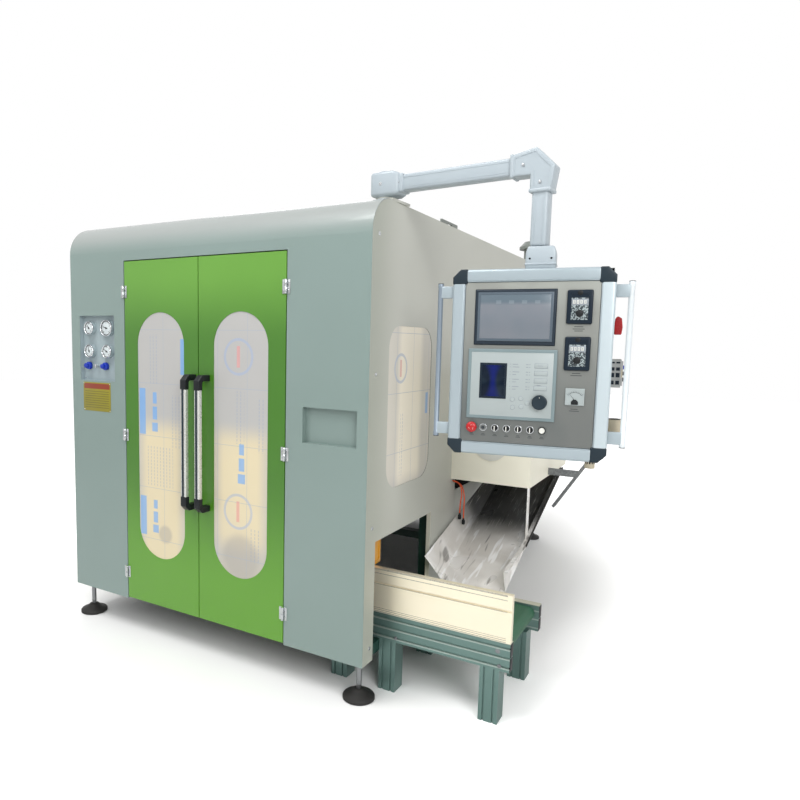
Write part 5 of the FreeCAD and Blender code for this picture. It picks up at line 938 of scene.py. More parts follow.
# Painted shade and painted reflection: the upper half, under the hood, turns near black.
back = add(tree, "SeparateXYZ", {0: place}).outputs[1]
shaded = add(tree, "MapRange", {0: back, 1: -0.53, 2: -0.25, 4: 0.93}, **SMOOTH)
base = add(tree, "Mix", {0: shaded, 6: base, 7: colour("#202326")}, **BLEND)
worn = add(tree, "MapRange", {0: slow, 1: 0.3, 2: 0.7, 3: 0.22, 4: 0.42}, **SMOOTH)
dent = add(tree, "TexNoise", {"Vector": place, "Scale": 9.0, "Detail": 1.0})
soft = add(tree, "Bump", {"Height": dent, "Strength": 0.7, "Distance": 0.012})
fine = add(tree, "Bump", {"Height": marks, "Strength": 0.3, "Distance": 0.0002, "Normal": soft})
wire(tree, shader, {"Base Color": printed(tree, base, marks, 0.25, "#F0EFEB"), "Roughness": worn,
                    "Normal": fine})
dress(chute_steel, "bottle_chute")
print("chute with scratches and shallow dents")

# %% Hood finish
# Cream powder coat like the window's glow, and beyond the hood's end the flaky grey crystals of hot-dip zinc.
HOOD_END = 0.8585
hood_paint, tree, shader, place = blank("powder coat, cream, and galvanised tray")
across = add(tree, "SeparateXYZ", {0: place}).outputs[0]
tray = add(tree, "Math", {0: across, 1: HOOD_END}, operation="GREATER_THAN")
slow = add(tree, "TexNoise", {"Vector": place, "Scale": 2.2, "Detail": 3.0})
cream = add(tree, "Mix", {0: slow, 6: colour("#F6F3E3"), 7: colour("#EBE7D6")}, **BLEND)
spangle = add(tree, "TexVoronoi", {"Vector": place, "Scale": 90.0})
galvanised = add(tree, "Mix", {0: spangle, 6: colour("#54575A"), 7: colour("#7C7F80")}, **BLEND)
wire(tree, shader, {"Base Color": add(tree, "Mix", {0: tray, 6: cream, 7: galvanised}, **BLEND)})
grain(tree, shader, place, 2.5, 0.1, 0.45)
dress(hood_paint, "outlet_hood")
print("hood and tray")

# %% Cover on the hood and trim on the chute
CHUTE_SLOPE = math.radians(20.7)
cover = turned("hood_cover", [(0, 0), (94.5, 0), (94.5, 3.2), (93.5, 5.0), (84, 6.5), (60, 8), (0, 8.4)],
               (207, 959.5, 1033), FRONT, steps=64)
seat(cover, MACHINE, white_plastic, "white_plastic")
edge = plate("edge", [(-3.2, 298, 51), (-3.2, 1118, 39.5), (-3.2, 1118, 49.5), (-3.2, 298, 61)], (6.4, 0, 0))
trim = copy_of(round_edges(edge, 2.0), "chute_edge_trim", (423.5, 650, 380), (CHUTE_SLOPE, (0, 0, 0), RIGHT))
bpy.data.objects.remove(edge)
seat(trim, MACHINE, rubber, "black_rubber")
print("round cover on the hood, rubber trim on the chute's edge")

# %% [markdown]
# ## Belt drive
# A yellow geared motor drives the front roller through a chain in a flat case. The gearbox gets a raised
# flange and cast edges, the motor cooling fins and a fan cover.

# %% Belt drive
gearbox = rounded("belt_drive_gearbox", (-170, 190, 548), (-60, 270, 690), 7, 4)
sink(gearbox, FRONT, 12, 2.5)
sink(gearbox, RIGHT, 12, 2.5)
seat(gearbox, MACHINE, yellow_coat, "yellow_paint", replaces=["conveyor_gearmotor"])
fins = [(0, 0), (36, 0), (36, 3)]
for step in range(9):
    fins += [(31, 5 + step * 6), (31, 8 + step * 6), (37.5, 8.6 + step * 6), (37.5, 10.4 + step * 6)]
fins += [(36, 62), (38, 64), (38, 86), (34, 90), (0, 90)]
seat(turned("belt_drive_motor", fins, (-170, 230, 619), LEFT, steps=40), MACHINE, yellow_coat, "yellow_paint")
case = plate("belt_drive_chain_case", [(x, 170, z) for x, z in (
    (-235, 282), (-185, 282), (-185, 548), (-60, 548), (-60, 598), (-235, 598))], (0, 20, 0))
seat(round_edges(case, 3.5, 3), MACHINE, yellow_coat, "yellow_paint")
seat(rounded("belt_drive_terminal_box", (-245, 206, 650), (-190, 254, 676), 3), MACHINE, yellow_coat,
     "yellow_paint")
screw_places = [(-228, 300), (-192, 300), (-228, 580), (-192, 556), (-75, 590), (-75, 556), (-150, 590)]
screws = turned_set("belt_drive_screws", [(0, 0), (5, 0), (4.4, 2.4), (2.4, 3), (2.4, 1.6), (0, 1.6)],
                    [(x, 170.6, z) for x, z in screw_places], FRONT, 16)
seat(screws, MACHINE, zinc, "chrome")
print("belt drive with fins, case and screws")

# %% [markdown]
# ## Screws, clips and end pieces on the sheets
# Small fasteners make a machine read at its real size. One socket screw on its washer is drawn, then copied
# along the conveyor.

# %% Bolts on the conveyor
bolts = turned_set("conveyor_bolts", [(0, 0), (8.5, 0), (8.5, 1.6), (6.4, 1.8), (6.4, 6.2), (5.6, 6.8),
                                      (3, 6.8), (3, 3.6), (0, 3.6)],
                   [(x, 190.4, 250) for x in (-180, 62, 520)], FRONT, 18)
seat(bolts, MACHINE, steel, "steel")
caps = rounded_set("conveyor_end_caps", [((558, y + 2, z + 2), (563, y + 38, z + 56)) for z in (230, 290)
                                         for y in (190, 650)], 1.6)
seat(caps, MACHINE, black_plastic, "dark_plastic")
bushes = turned_set("side_sheet_screws", [(0, 0), (9, 0), (8.4, 1.6), (3.6, 2), (3.6, 1), (0, 1)],
                    [(0.2, 60, z) for z in (760, 1400, 1960, 240)], RIGHT, 20)
seat(bushes, MACHINE, zinc, "chrome")
print("conveyor bolts, end caps and side screws")

# %% [markdown]
# ## Swing arm
# The arm is made of powder-coated aluminium castings and square tubes: a round bearing head on the roof, a
# beam, a mitred elbow with raised lips and a post down to the panel. The tubes are blocks with wide rounded
# edges, and the castings are outlines pushed to their width, with their side faces sunk to leave the lips.

# %% Arm head
head = block("arm_head_casting", (-51, -51, 2138), (51, 51, 2238))
taper_end(head, lambda at, normal: normal.x > 0.9, (30, 0, 0), (1, 0.78, 0.82), (81, 0, 2188))
seat(round_edges(head, 13, 5), ARM, arm_alloy, "aluminium", replaces=["arm_head"])
neck = turned("arm_head_bearing", [(0, 2119), (43, 2119), (45, 2121), (45, 2129), (42, 2131), (42, 2136),
                                   (46, 2138.5), (46, 2143), (0, 2143)], (0, 0, 0), UP, steps=48)
seat(neck, ARM, arm_alloy, "aluminium")
cap = turned("arm_head_cap", [(0, 2236), (40, 2236), (40, 2239), (36, 2242), (0, 2243)], (0, 0, 0), UP,
             steps=48)
seat(cap, ARM, arm_alloy, "aluminium")
seat(rounded("arm_beam_collar", (74, -35, 2150), (96, 35, 2226), 7, 4), ARM, arm_alloy, "aluminium")
print("arm head with bearing, cap and collar")

# %% Arm tubes
for name, low, high in (("arm_beam", (90, -30, 2155), (565, 30, 2221)),
                        ("arm_post", (635, -30, 1893), (695, 30, 2100))):
    seat(rounded(name, low, high, 9, 4), ARM, arm_alloy, "aluminium", replaces=["arm_tubes"])
ridges = [((90, y, z), (560, y + 0.9, z + 3)) for y in (-30.9, 30) for z in (2168, 2205)]
ridges += [((x, y, 1900), (x + 3, y + 0.9, 2095)) for y in (-30.9, 30) for x in (648, 679)]
seat(rounded_set("arm_tube_ridges", ridges, 0.3), ARM, arm_alloy, "aluminium")
print("beam and post with their drawn ridges")

# %% Arm elbow
corners = [(553, 2150), (627, 2150), (627, 2088), (703, 2088), (717, 2175), (647, 2246), (553, 2228)]
elbow = round_edges(plate("arm_elbow_casting", [(x, -35, z) for x, z in corners], (0, 70, 0)), 6, 4, angle=20)
sink(elbow, FRONT, 9, 1.6)
sink(elbow, BACK, 9, 1.6)
seat(elbow, ARM, arm_alloy, "aluminium", replaces=["arm_elbow"])
lips = rounded_set("arm_elbow_lips", [((549, -38, 2147), (563, 38, 2231)),
                                      ((624, -38, 2085), (706, 38, 2099))], 5, 4)
seat(lips, ARM, arm_alloy, "aluminium")
print("elbow casting with two lips")

# %% Screws on the castings
screws = []
for way in (-1, 1):
    small = turned("screw", [(0, 0), (6, 0), (5.4, 2), (3, 2.6), (3, 1.4), (0, 1.4)], (0, way * 34.5, 0),
                   (0, way, 0), steps=20)
    screws += shifted(small, [(75, 0, 2188), (600, 0, 2188), (665, 0, 2120)])
    screws.append(turned("screw", [(0, 0), (8, 0), (7.2, 2), (4, 2.6), (4, 1.4), (0, 1.4)],
                         (0, way * 50, 2188), (0, way, 0), steps=20))
seat(join("arm_screws", screws), ARM, zinc, "chrome")
print("eight screws on the arm")

# %% [markdown]
# ## Panel coupling
# A rounded box clamps the panel to the post. A seam runs round it and small screws close it.

# %% Panel coupling
clamp = block("panel_coupling_box", (-46, -40, 1808), (62, 40, 1868))
taper_end(clamp, lambda at, normal: normal.z > 0.9, (0, 0, 24), (0.86, 0.9, 1), (8, 0, 1892))
seat(round_edges(clamp, 7, 4, angle=15), PANEL, arm_alloy, "aluminium", replaces=["panel_coupling"])
seat(rounded("panel_coupling_seam", (-48, -42, 1822), (64, 42, 1830), 3), PANEL, arm_alloy, "aluminium")
screws = turned_set("panel_coupling_screws", [(0, 0), (4, 0), (3.4, 1.6), (1.8, 2), (1.8, 1), (0, 1)],
                    [(x, -39.4, 1846) for x in (-30, 46)], FRONT, 16)
seat(screws, PANEL, black_plastic, "dark_plastic")
print("coupling box, seam and screws")

# %% [markdown]
# ## Control panel
# The housing is a frame of rounded aluminium profiles with slate plastic corner caps around a brushed
# stainless face. All its pieces are drawn square to the panel, in mm from the swivel axis, and turned with
# it at the end.

# %% Panel frame
FOOT = 1113.0
# Uprights: the rails' anodising, with a painted highlight: the right one drifts to a paler blue, as it
# catches more of the sky.
upright_alloy = painted_light_ramp(surface("extruded aluminium, panel uprights", "#A3AFB5", "#99A6AC", 300, 1.4, 0.02,
                                 0.34, 0.2, stretch=(1, 1, 0.05)), 0, 1.0, 1.2, "#BAC6CB")
uprights = rounded_set("panel_side_bars", [((x, -80, 1160), (x + 50, -30, 1761)) for x in (-302, 220)], 11, 5)
seat(uprights, PANEL, upright_alloy, "aluminium", replaces=["panel_frame"])
crossbars = rounded_set("panel_cross_bars", [((-255, -80, 1113.5), (223, -30, 1163)),
                                             ((-255, -80, 1758), (223, -30, 1807.5))], 11, 5)
seat(crossbars, PANEL, rail_alloy, "aluminium")
ridges = [((x, -81.0, 1170), (x + 2, -79, 1751)) for x in (-257, 223)]
ridges += [((-245, -81.0, z), (213, -79, z + 2)) for z in (1158, 1761)]
seat(rounded_set("panel_bar_ridges", ridges, 0.6), PANEL, rail_alloy, "aluminium")
print("four frame bars")

# %% Corner caps
caps = []
for side in (-1, 1):
    for up in (-1, 1):
        x, z = (-302 if side < 0 else 270), (1113 if up < 0 else 1808)
        near_x, near_z = x - side * 56, z - up * 56
        outline = [(near_x, z), (x - side * 29, z), (x, z - up * 29), (x, near_z), (near_x, near_z)]
        cap = plate("cap", [(along, -81, height) for along, height in outline], (0, 52, 0))
        caps.append(round_edges(cap, 5, 4, angle=50))
seat(join("panel_corner_covers", caps), PANEL, slate_plastic, "dark_plastic", replaces=["panel_corner_caps"])
print("four corner caps")

# %% [markdown]
# ## Touch screen
# A dark bezel, a lighter inner frame and a matt screen. The screen is off, so it shows a grey-lilac haze
# with a soft band along its top.

# %% Touch screen
# Rim: the darkest blue-black, a crisp outline round the bezel. Surround: a lighter step before the glass.
rim_plastic = surface("moulded ABS, dark slate", "#172430", "#131E29", 90, 0.9, 0.05, 0.36, ior=1.5,
                      gloss=0.2)
surround_plastic = surface("moulded ABS, light blue-grey", "#4E5B66", "#47545F", 90, 0.9, 0.05, 0.36, ior=1.5)
bezel = rounded("screen_bezel", (-213, -84, 1530), (74, -76.5, 1731), 3.5, 4)
sink(bezel, FRONT, 7, 1.2)
seat(bezel, PANEL, bezel_plastic, "screen_plastic", replaces=["touch_screen"])
seat(rounded("screen_rim", (-215, -82.2, 1528), (76, -76.8, 1733), 3), PANEL, rim_plastic, "screen_plastic")
surround = rounded("screen_surround", (-204, -84.6, 1543), (65, -80, 1722), 1.2, 2)
sink(surround, FRONT, 8, 1.5)
seat(surround, PANEL, surround_plastic, "screen_plastic")


def panel_place(tree, place):
    """The place in the panel's own directions, in metres from the swivel axis."""
    offset = add(tree, "VectorMath", {0: place, 1: SWIVEL}, operation="SUBTRACT")
    return add(tree, "VectorRotate", {"Vector": offset, "Angle": -PANEL_TURN},
               rotation_type="Z_AXIS").outputs["Vector"]


# Glass of a sleeping screen: grey-lilac clouds, a cooler band and faint blocks on top, a dull wide sheen.
screen_glass, tree, shader, place = blank("touch screen glass, matt", ior=1.5)
local = panel_place(tree, place)
haze = add(tree, "TexNoise", {"Vector": place, "Scale": 9.0, "Detail": 2.0})
tone = add(tree, "Mix", {0: haze, 6: colour("#66717A"), 7: colour("#787A81")}, **BLEND)
height = add(tree, "SeparateXYZ", {0: local}).outputs[2]
band = add(tree, "MapRange", {0: height, 1: 1.672, 2: 1.690}, **SMOOTH)
tone = add(tree, "Mix", {0: band, 6: tone, 7: colour("#586670")}, **BLEND)
blocks = add(tree, "Math", {0: near_box(tree, local, (-0.07, -0.084, 1.686), (0.095, 0.02, 0.006)),
                            1: stripes(tree, local, 0, 0.046, 0.4)}, operation="MULTIPLY")
wire(tree, shader, {"Base Color": printed(tree, tone, blocks, 0.18, "#9DA9B0")})
grain(tree, shader, place, 1.0, 0.01, 0.22)
seat(rounded("screen_glass", (-195, -84.2, 1552), (56, -80, 1713), 0.5, 2), PANEL, screen_glass,
     "screen_plastic")
print("screen with rim, bezel, surround and glass")

# %% [markdown]
# ## Wall thickness controller
# The white instrument below the screen sets how thick the plastic tube is while it grows. It has a raised
# grey-green rim, a dark blue display, rows of print marks, four keys, five arrow keys and a large knob.

# %% Controller body
# Overlay: matt printed film, a flat cool white that shows no highlight of its own.
sheet_white = surface("polyester overlay, white", "#A1AAAA", "#9AA3A3", 200, 1.2, 0.02, 0.35, ior=1.58)
rim = rounded("controller_rim", (-232, -84, 1252), (87, -76.6, 1514), 2.5)
sink(rim, FRONT, 9.5, 1.0)
seat(rim, PANEL, trim_plastic, "controller_plastic", replaces=["parison_controller"])
seat(rounded("controller_overlay", (-222, -83.4, 1262), (77, -80, 1504), 0.6, 2), PANEL, sheet_white,
     "controller_plastic")
frame_dark = rounded("controller_display_frame", (-187, -84.6, 1329), (-88, -82, 1462), 1.2, 2)
sink(frame_dark, FRONT, 7, 0.9)
seat(frame_dark, PANEL, rim_plastic, "screen_plastic")
# Display: an hourglass of deep blue light on near black, as an old backlight glows behind its sheet.
display_glass, tree, shader, place = blank("display glass, deep blue", ior=1.52)
shader.inputs["Specular IOR Level"].default_value = 0.15
part = add(tree, "SeparateXYZ", {0: panel_place(tree, place)}).outputs
across = add(tree, "Math", {0: part[0], 1: -0.1375}, operation="SUBTRACT")
across = add(tree, "Math", {0: across}, operation="ABSOLUTE")
up = add(tree, "Math", {0: part[2], 1: 1.3955}, operation="SUBTRACT")
waist = add(tree, "Math", {0: up, 1: up}, operation="MULTIPLY")
waist = add(tree, "Math", {0: waist, 1: 4.0, 2: 0.010}, operation="MULTIPLY_ADD")
inside = add(tree, "Math", {0: across, 1: waist}, operation="DIVIDE")
glow = add(tree, "MapRange", {0: inside, 1: 1.7, 2: 0.1}, **SMOOTH)
veil = add(tree, "TexNoise", {"Vector": place, "Scale": 22.0, "Detail": 1.0})
veil = add(tree, "MapRange", {0: veil, 1: 0.4, 2: 0.75}, **SMOOTH)
tone = add(tree, "Mix", {0: veil, 6: colour("#0A1726"), 7: colour("#1B2833")}, **BLEND)
wire(tree, shader, {"Base Color": printed(tree, tone, glow, 0.9, "#0D1A5E")})
grain(tree, shader, place, 2.0, 0.005, 0.12)
seat(rounded("controller_display", (-180, -84.2, 1336), (-95, -82.4, 1455), 0.3, 2), PANEL, display_glass,
     "screen_plastic")
print("controller rim, overlay and display")

# %% Controller keys
# Two inks: a soft grey that stays behind the keys, and a charcoal that reads as small print from afar.
ink = surface("screen-printed ink, grey", "#8E959B", "#848B92", 40, 1.0, 0.01, 0.5, ior=1.5)
print_ink = surface("screen-printed ink, charcoal", "#3D4042", "#35383A", 40, 1.0, 0.01, 0.5, ior=1.5)
wide_keys = [(0, 0, z) for z in (1455, 1427.7, 1400.4, 1373.1)]
arrow_keys = [(x, -83.2, z) for x, z in ((-64, 1329), (-62.5, 1299), (-33.5, 1333), (-31.5, 1303),
                                         (-10, 1316))]
outlines = shifted(rounded("outline", (9.3, -84.0, -9), (56.3, -83.2, 9), 0.35, 2), wide_keys)
outlines.append(turned_set("outline", [(0, 0), (9.2, 0), (9.2, 0.6), (8.8, 0.8), (0, 0.8)], arrow_keys,
                           FRONT, 8))
faces = shifted(rounded("face", (10.8, -84.6, -7.5), (54.8, -83.6, 7.5), 0.5, 2), wide_keys)
faces.append(turned_set("face", [(0, 0), (7.8, 0), (7.8, 0.8), (7.2, 1.4), (0, 1.4)], arrow_keys, FRONT, 8))
for z in (1459, 1449, 1431, 1421, 1404, 1394, 1377, 1367):
    for low, high in ((-78, -75), (-68, -44 - (z % 3) * 5), (-20, -12), (-9, -5)):
        outlines.append(rounded("mark", (low, -83.7, z - 1.4), (high, -83.3, z + 1.4), 0.12, 1))
for z, high in ((1455, 40), (1384, 34)):
    outlines.append(rounded("mark", (20, -84.9, z - 1), (high, -84.5, z + 1), 0.12, 1))
seat(join("controller_key_outlines", outlines), PANEL, ink, "controller_plastic")
seat(join("controller_keys", faces), PANEL, sheet_white, "controller_plastic")
print("nine keys with outlines and the print marks")

# %% Controller knob
knob = turned("controller_knob_grip", [(0, 0), (22, 0), (22, 2), (27, 2.6), (27, 15), (25.2, 18.2),
                                       (22, 19.2), (18, 18.4), (0, 18)], (32.7, -83, 1322), FRONT, steps=60)
cut_each(knob, lambda at, normal: (abs(normal.y) < 0.3 and -98 < at.y < -86
                                   and strip_number(at, 32.7, 1322, 6) % 2 == 0), 0.2, 0.7)
seat(knob, PANEL, slate_plastic, "dark_plastic", "controller_knob_body", replaces=["controller_knob"])
mark = rounded("controller_knob_mark", (31.9, -101.8, 1338), (33.5, -100.6, 1345), 0.3, 2)
seat(mark, PANEL, white_plastic, "white_plastic", "controller_knob_body")
print("knob with knurling and mark")

# %% [markdown]
# ## Speed keypads and load meter
# Two keypads on the right have a notched slate frame, a small white display and a round pot knob over light
# and dark fields. Below them is a moving-coil meter with an arc scale. The keypad is drawn once and copied
# to its two places.

# %% Keypads
# The keys' tiny print would only flicker, so it is drawn as a coarse chequer of black and silver cells.
chequer, tree, shader, place = blank("screen-printed overlay, black and silver", ior=1.55)
cell = add(tree, "TexVoronoi", {"Vector": place, "Scale": 270.0, "Randomness": 0.9}, feature="F1",
           distance="CHEBYCHEV")
pick = add(tree, "SeparateColor", {"Color": cell.outputs["Color"]})
lit = add(tree, "Math", {0: pick, 1: 0.52}, operation="GREATER_THAN")
wire(tree, shader, {"Base Color": add(tree, "Mix", {0: lit, 6: colour("#1E2A30"), 7: colour("#98A4A6")},
                                      **BLEND)})
grain(tree, shader, place, 1.0, 0.01, 0.35)
DIGIT_BARS = [((0, 11), (8, 13)), ((0, 16), (8, 18)), ((0, 21.5), (8, 23.5)), ((0, 12), (2, 22)),
              ((6, 12), (8, 22))]
housing = sink(rounded("housing", (109.5, -89, -60.5), (196.5, -76.6, 60.5), 6, 4), FRONT, 9, 1.4)
notch = turned("notch", [(0, 0), (9, 0), (9, 1.2), (8, 2.0), (0, 2.0)], (153, -88.4, 50), FRONT, 32)
field = rounded("field", (120, -88.6, -50), (186, -87, 32), 0.4, 2)
window = rounded("window", (125, -89.4, 6), (181, -88, 28), 0.5, 2)
digit = rounded_set("digit", [((x, -89.8, z), (far_x, -89.2, far_z))
                              for (x, z), (far_x, far_z) in DIGIT_BARS], 0.15, 1)
digits = join("digits", shifted(digit, [(x, 0, 0) for x in (130, 142, 154, 166)]))
pot = turned("pot", [(0, 0), (13, 0), (13, 1), (12.2, 1.4), (11.4, 6.6), (10.2, 7.4), (0, 7.4)],
             (153, -87.6, -22.9), FRONT, steps=24)
cut_each(pot, lambda at, normal: abs(normal.y) < 0.4 and -94 < at.y < -89.5, 0.4, 0.4)
stamp([("_frame", housing, rim_plastic, "dark_plastic"), ("_notch", notch, black_plastic, "dark_plastic"),
       ("_field", field, chequer, "controller_plastic"), ("_display", window, ink, "controller_plastic"),
       ("_digits", digits, white_plastic, "white_plastic"), ("_knob", pot, black_plastic, "dark_plastic")],
      PANEL, [("keypad_upper", (0, 0, FOOT + 554.5), "control_panel", ["panel_instruments"]),
              ("keypad_lower", (0, 0, FOOT + 389), "control_panel", ())])
print("two keypads")

# %% Load meter
meter = rounded("meter_housing", (120.5, -84, 1317), (185.5, -76.6, 1378), 1.6)
sink(meter, FRONT, 2.5, 0.8)
seat(meter, PANEL, sheet_white, "white_plastic")
marks = []
for top, angles in ((1371, (-50, 0, 50)), (1369, (-40, -30, -20, -10, 10, 20, 30, 40))):
    marks += spun(block("mark", (152.6, -83.9, 1364), (153.4, -83.3, top)), (153, -83.5, 1335),
                  [math.radians(angle) for angle in angles])
arc = turned("arc", [(28.3, 0), (28.3, 0.5), (29.1, 0.5), (29.1, 0), (28.3, 0)], (153, -83.3, 1335), FRONT,
             72)
edit_faces(arc, lambda at, normal: at.z < 1335 + abs(at.x - 153) * 0.84)
bpy.ops.mesh.delete(type="FACE")
leave()
marks.append(arc)
hand = plate("hand", [(152.2, -84.2, 1336), (153.8, -84.2, 1336), (153.2, -84.2, 1362), (152.8, -84.2, 1362)],
             (0, 0.4, 0))
marks += spun(hand, (153, -84, 1335), [math.radians(-38)])
shroud = plate("shroud", [(x, -85.2, z) for x, z in (
    (141, 1319.5), (165, 1319.5), (165, 1330), (158, 1338), (148, 1338), (141, 1330))], (0, 2.0, 0))
marks.append(round_edges(shroud, 0.5, 2))
seat(join("meter_scale_and_hand", marks), PANEL, black_plastic, "dark_plastic")
print("load meter")

# %% [markdown]
# ## The row of buttons
# A red mushroom stop button, a dark lamp in a chrome ring, four black selectors with a silver bar and a
# white start button. The moving ones replace their solids and ride on their own bodies, so they still turn
# and press.

# %% Stop button, lamp and rings
ROW = FOOT + 105
STOP_X, LAMP_X, START_X = -209.5, -167, 46
SELECTORS_X = (-123.5, -81, -38.5, 4)
collar = turned("stop_collar", [(10.6, 0), (16.5, 0), (17, 1.6), (16, 4.4), (10.6, 4.6), (10.6, 0)],
                (STOP_X, -77, ROW), FRONT, steps=36)
seat(collar, PANEL, black_plastic, "dark_plastic")
stop = turned("stop_head", [(0, 0), (9.5, 0), (9.5, 11), (19.4, 12.2), (20, 14.5), (19.2, 18.6), (15.5, 22),
                            (9, 23.8), (0, 24.2)], (STOP_X, -77, ROW), FRONT, steps=48)
seat(stop, PANEL, red_plastic, "red_plastic", "stop_button_body", replaces=["stop_button"])
arrow = plate("arrow", [(-212, -100.2, ROW + 8.4), (-207, -100.2, ROW + 8.4), (-207, -100.2, ROW + 10.2),
                        (-203.8, -99.6, ROW + 8.0), (-207, -100.2, ROW + 5.8), (-207, -100.2, ROW + 7.2),
                        (-212, -100.2, ROW + 7.2)], (0, -0.7, 0))
arrows = spun(arrow, (STOP_X, -100, ROW), [third * math.tau / 3 for third in range(3)])
seat(join("stop_arrows", arrows), PANEL, white_plastic, "white_plastic", "stop_button_body")
ring_profile = [(10.6, 0), (14.6, 0), (14.8, 1), (14.4, 4.6), (13.2, 5.4), (11.2, 5.2), (10.6, 4.4),
                (10.6, 0)]
rings = turned_set("button_rings", ring_profile, [(x, -77, ROW) for x in (LAMP_X, *SELECTORS_X)], FRONT, 36)
seat(turned("start_ring", ring_profile, (START_X, -77, ROW), FRONT, 36), PANEL, black_plastic, "dark_plastic")
seat(rings, PANEL, zinc, "chrome")
# Lamp that is off: smoked plastic with one sharp highlight, darker than the steel round it.
lens_plastic = surface("moulded polycarbonate, smoked", "#20262B", "#2A3238", 20, 0.8, 0.02, 0.15, ior=1.58)
lens = turned("lamp_lens", [(0, 0), (10.4, 0), (10.4, 5.6), (9, 8), (5, 9.2), (0, 9.4)],
              (LAMP_X, -77.2, ROW), FRONT, steps=32)
seat(lens, PANEL, lens_plastic, "dark_plastic")
print("stop button, rings and lamp")

# %% Selectors and start button
disc = turned("disc", [(0, 0), (10.3, 0), (10.3, 5.6), (9.6, 6.4), (0, 6.6)], (0, -77, 0), FRONT, 32)
grip = join("grip", [disc, rounded("wing", (-4, -96, -9.6), (4, -82, 9.6), 1.4)])
line = rounded("line", (-1.7, -96.6, -9.2), (1.7, -95.6, 9.2), 0.4, 2)
stamp([("_grip", grip, black_plastic, "dark_plastic"), ("_mark", line, white_plastic, "white_plastic")],
      PANEL, [(f"selector_{number}", (x, 0, ROW), f"selector_{number}_body", [f"selector_{number}"])
       for number, x in enumerate(SELECTORS_X, start=1)])
start = turned("start_button_head", [(0, 0), (10.3, 0), (10.3, 8.4), (9.4, 9.8), (7, 10), (0, 9.6)],
               (START_X, -77, ROW), FRONT, 32)
seat(start, PANEL, white_plastic, "white_plastic", "start_button_body", replaces=["start_button"])
print("four selectors and the start button")

# %% Print marks on the face
prints = [((x - half, -77.25, ROW - drop - 1.1), (x + half, -77.0, ROW - drop + 1.1))
          for x in (STOP_X, LAMP_X, *SELECTORS_X, START_X) for drop, half in ((25, 5.5), (30, 8.0))]
prints += [((153 - half, -77.25, z - 1.3), (153 + half, -77.0, z + 1.3)) for z, half in (
    (1598, 15), (1590, 20), (1583, 14), (1432, 14), (1424, 19), (1303, 12), (1296, 17))]
seat(rounded_set("panel_print_marks", prints, 0.08, 1), PANEL, print_ink, "dark_plastic")
print(len(prints), "plain bars where the face is printed")

# %% [markdown]
# ## Grab handles
# A slim tube with short square brackets stands on each side of the panel. The left one is painted in shade,
# a grey-blue; the right one carries a painted highlight, as it catches more light.

# %% Grab handles
# Left tube: painted shade, a blue-grey with draw lines along it. Right tube: a painted highlight, nearly
# white, so it stands off the floor.
shaded_alloy = surface("drawn aluminium, painted shade", "#8894A0", "#7D8995", 200, 1.4, 0.02, 0.34, 0.3,
                       stretch=(1, 1, 0.03))
lit_alloy = surface("drawn aluminium, painted highlight", "#DCE2E5", "#D3DADE", 200, 1.4, 0.02, 0.34, 0.15,
                     stretch=(1, 1, 0.03))


def grab_handle(name, x, side, finish, replaces=()):
    tube = turned(name + "_tube", [(0, 1171), (9.4, 1171), (11, 1173), (11, 1186), (10, 1188), (10, 1741),
                                   (11, 1743), (11, 1756), (9.4, 1758), (0, 1758)],
                  (x, -55, 0), UP, steps=32)
    seat(tube, PANEL, finish, "aluminium", replaces=replaces)
    low_x, high_x = sorted((x - side * 51, x - side * 4))
    brackets = [((low_x, -64, low), (high_x, -46, high)) for low, high in ((1182, 1227), (1702, 1747))]
    seat(rounded_set(name + "_brackets", brackets, 3, 3), PANEL, rail_alloy, "aluminium")
    ends = [turned("end", [(0, low), (10.6, low), (11.2, (low + high) / 2), (10.6, high), (0, high)],
                   (x, -55, 0), UP, steps=32) for low, high in ((1170.5, 1174), (1755, 1758.5))]
    seat(join(name + "_ends", ends), PANEL, slate_plastic, "dark_plastic")


grab_handle("grip_left", -352, -1, shaded_alloy, replaces=["panel_grab_handles"])
grab_handle("grip_right", 320, 1, lit_alloy)
print("two grab handles")

# %% [markdown]
# ## Fittings on the panel's right side
# A red isolator lever, small breakers with black and blue toggles and a round buzzer sit on the rear cover.

# %% Side fittings
# Breakers: a neutral light grey that sets off the dark windows and toggles.
grey_plastic = surface("moulded polyamide, light grey", "#A9ABAA", "#A0A2A1", 60, 0.8, 0.03, 0.42, ior=1.53)
breakers = rounded("breakers", (262, -8, 1383), (303, 47, 1485), 2)
edit_faces(breakers, lambda at, normal: normal.x > 0.95)
bpy.ops.mesh.inset(thickness=0.006, depth=0)
bpy.ops.mesh.extrude_region_move(TRANSFORM_OT_translate={"value": (0.005, 0, 0)})
leave()
seat(breakers, PANEL, grey_plastic, "white_plastic")
windows = [((left, -9.6, low), (left + 13, -7, high)) for low, high in (
    (1394, 1408), (1420, 1436), (1444, 1456), (1470, 1476)) for left in (268, 286)]
seat(rounded_set("breaker_windows", windows, 0.8), PANEL, rim_plastic, "dark_plastic")
toggles = [((306, 8, z - 7), (313, 32, z + 7)) for z in (1412, 1434, 1456)]
blue_toggle = toggles.pop()
seat(rounded_set("breaker_toggles_black", toggles, 1.8, 3), PANEL, black_plastic, "dark_plastic")
seat(rounded("breaker_toggle_blue", *blue_toggle, 1.8), PANEL, blue_plastic, "blue_plastic")
lever = plate("main_switch_handle", [(x, 4, z) for x, z in (
    (273, 1573), (297, 1573), (300, 1600), (296, 1632), (282, 1640), (274, 1632), (271, 1600))], (0, 30, 0))
seat(round_edges(lever, 4, 4), PANEL, red_plastic, "red_plastic", "main_switch_lever_body",
     replaces=["main_switch_lever"])
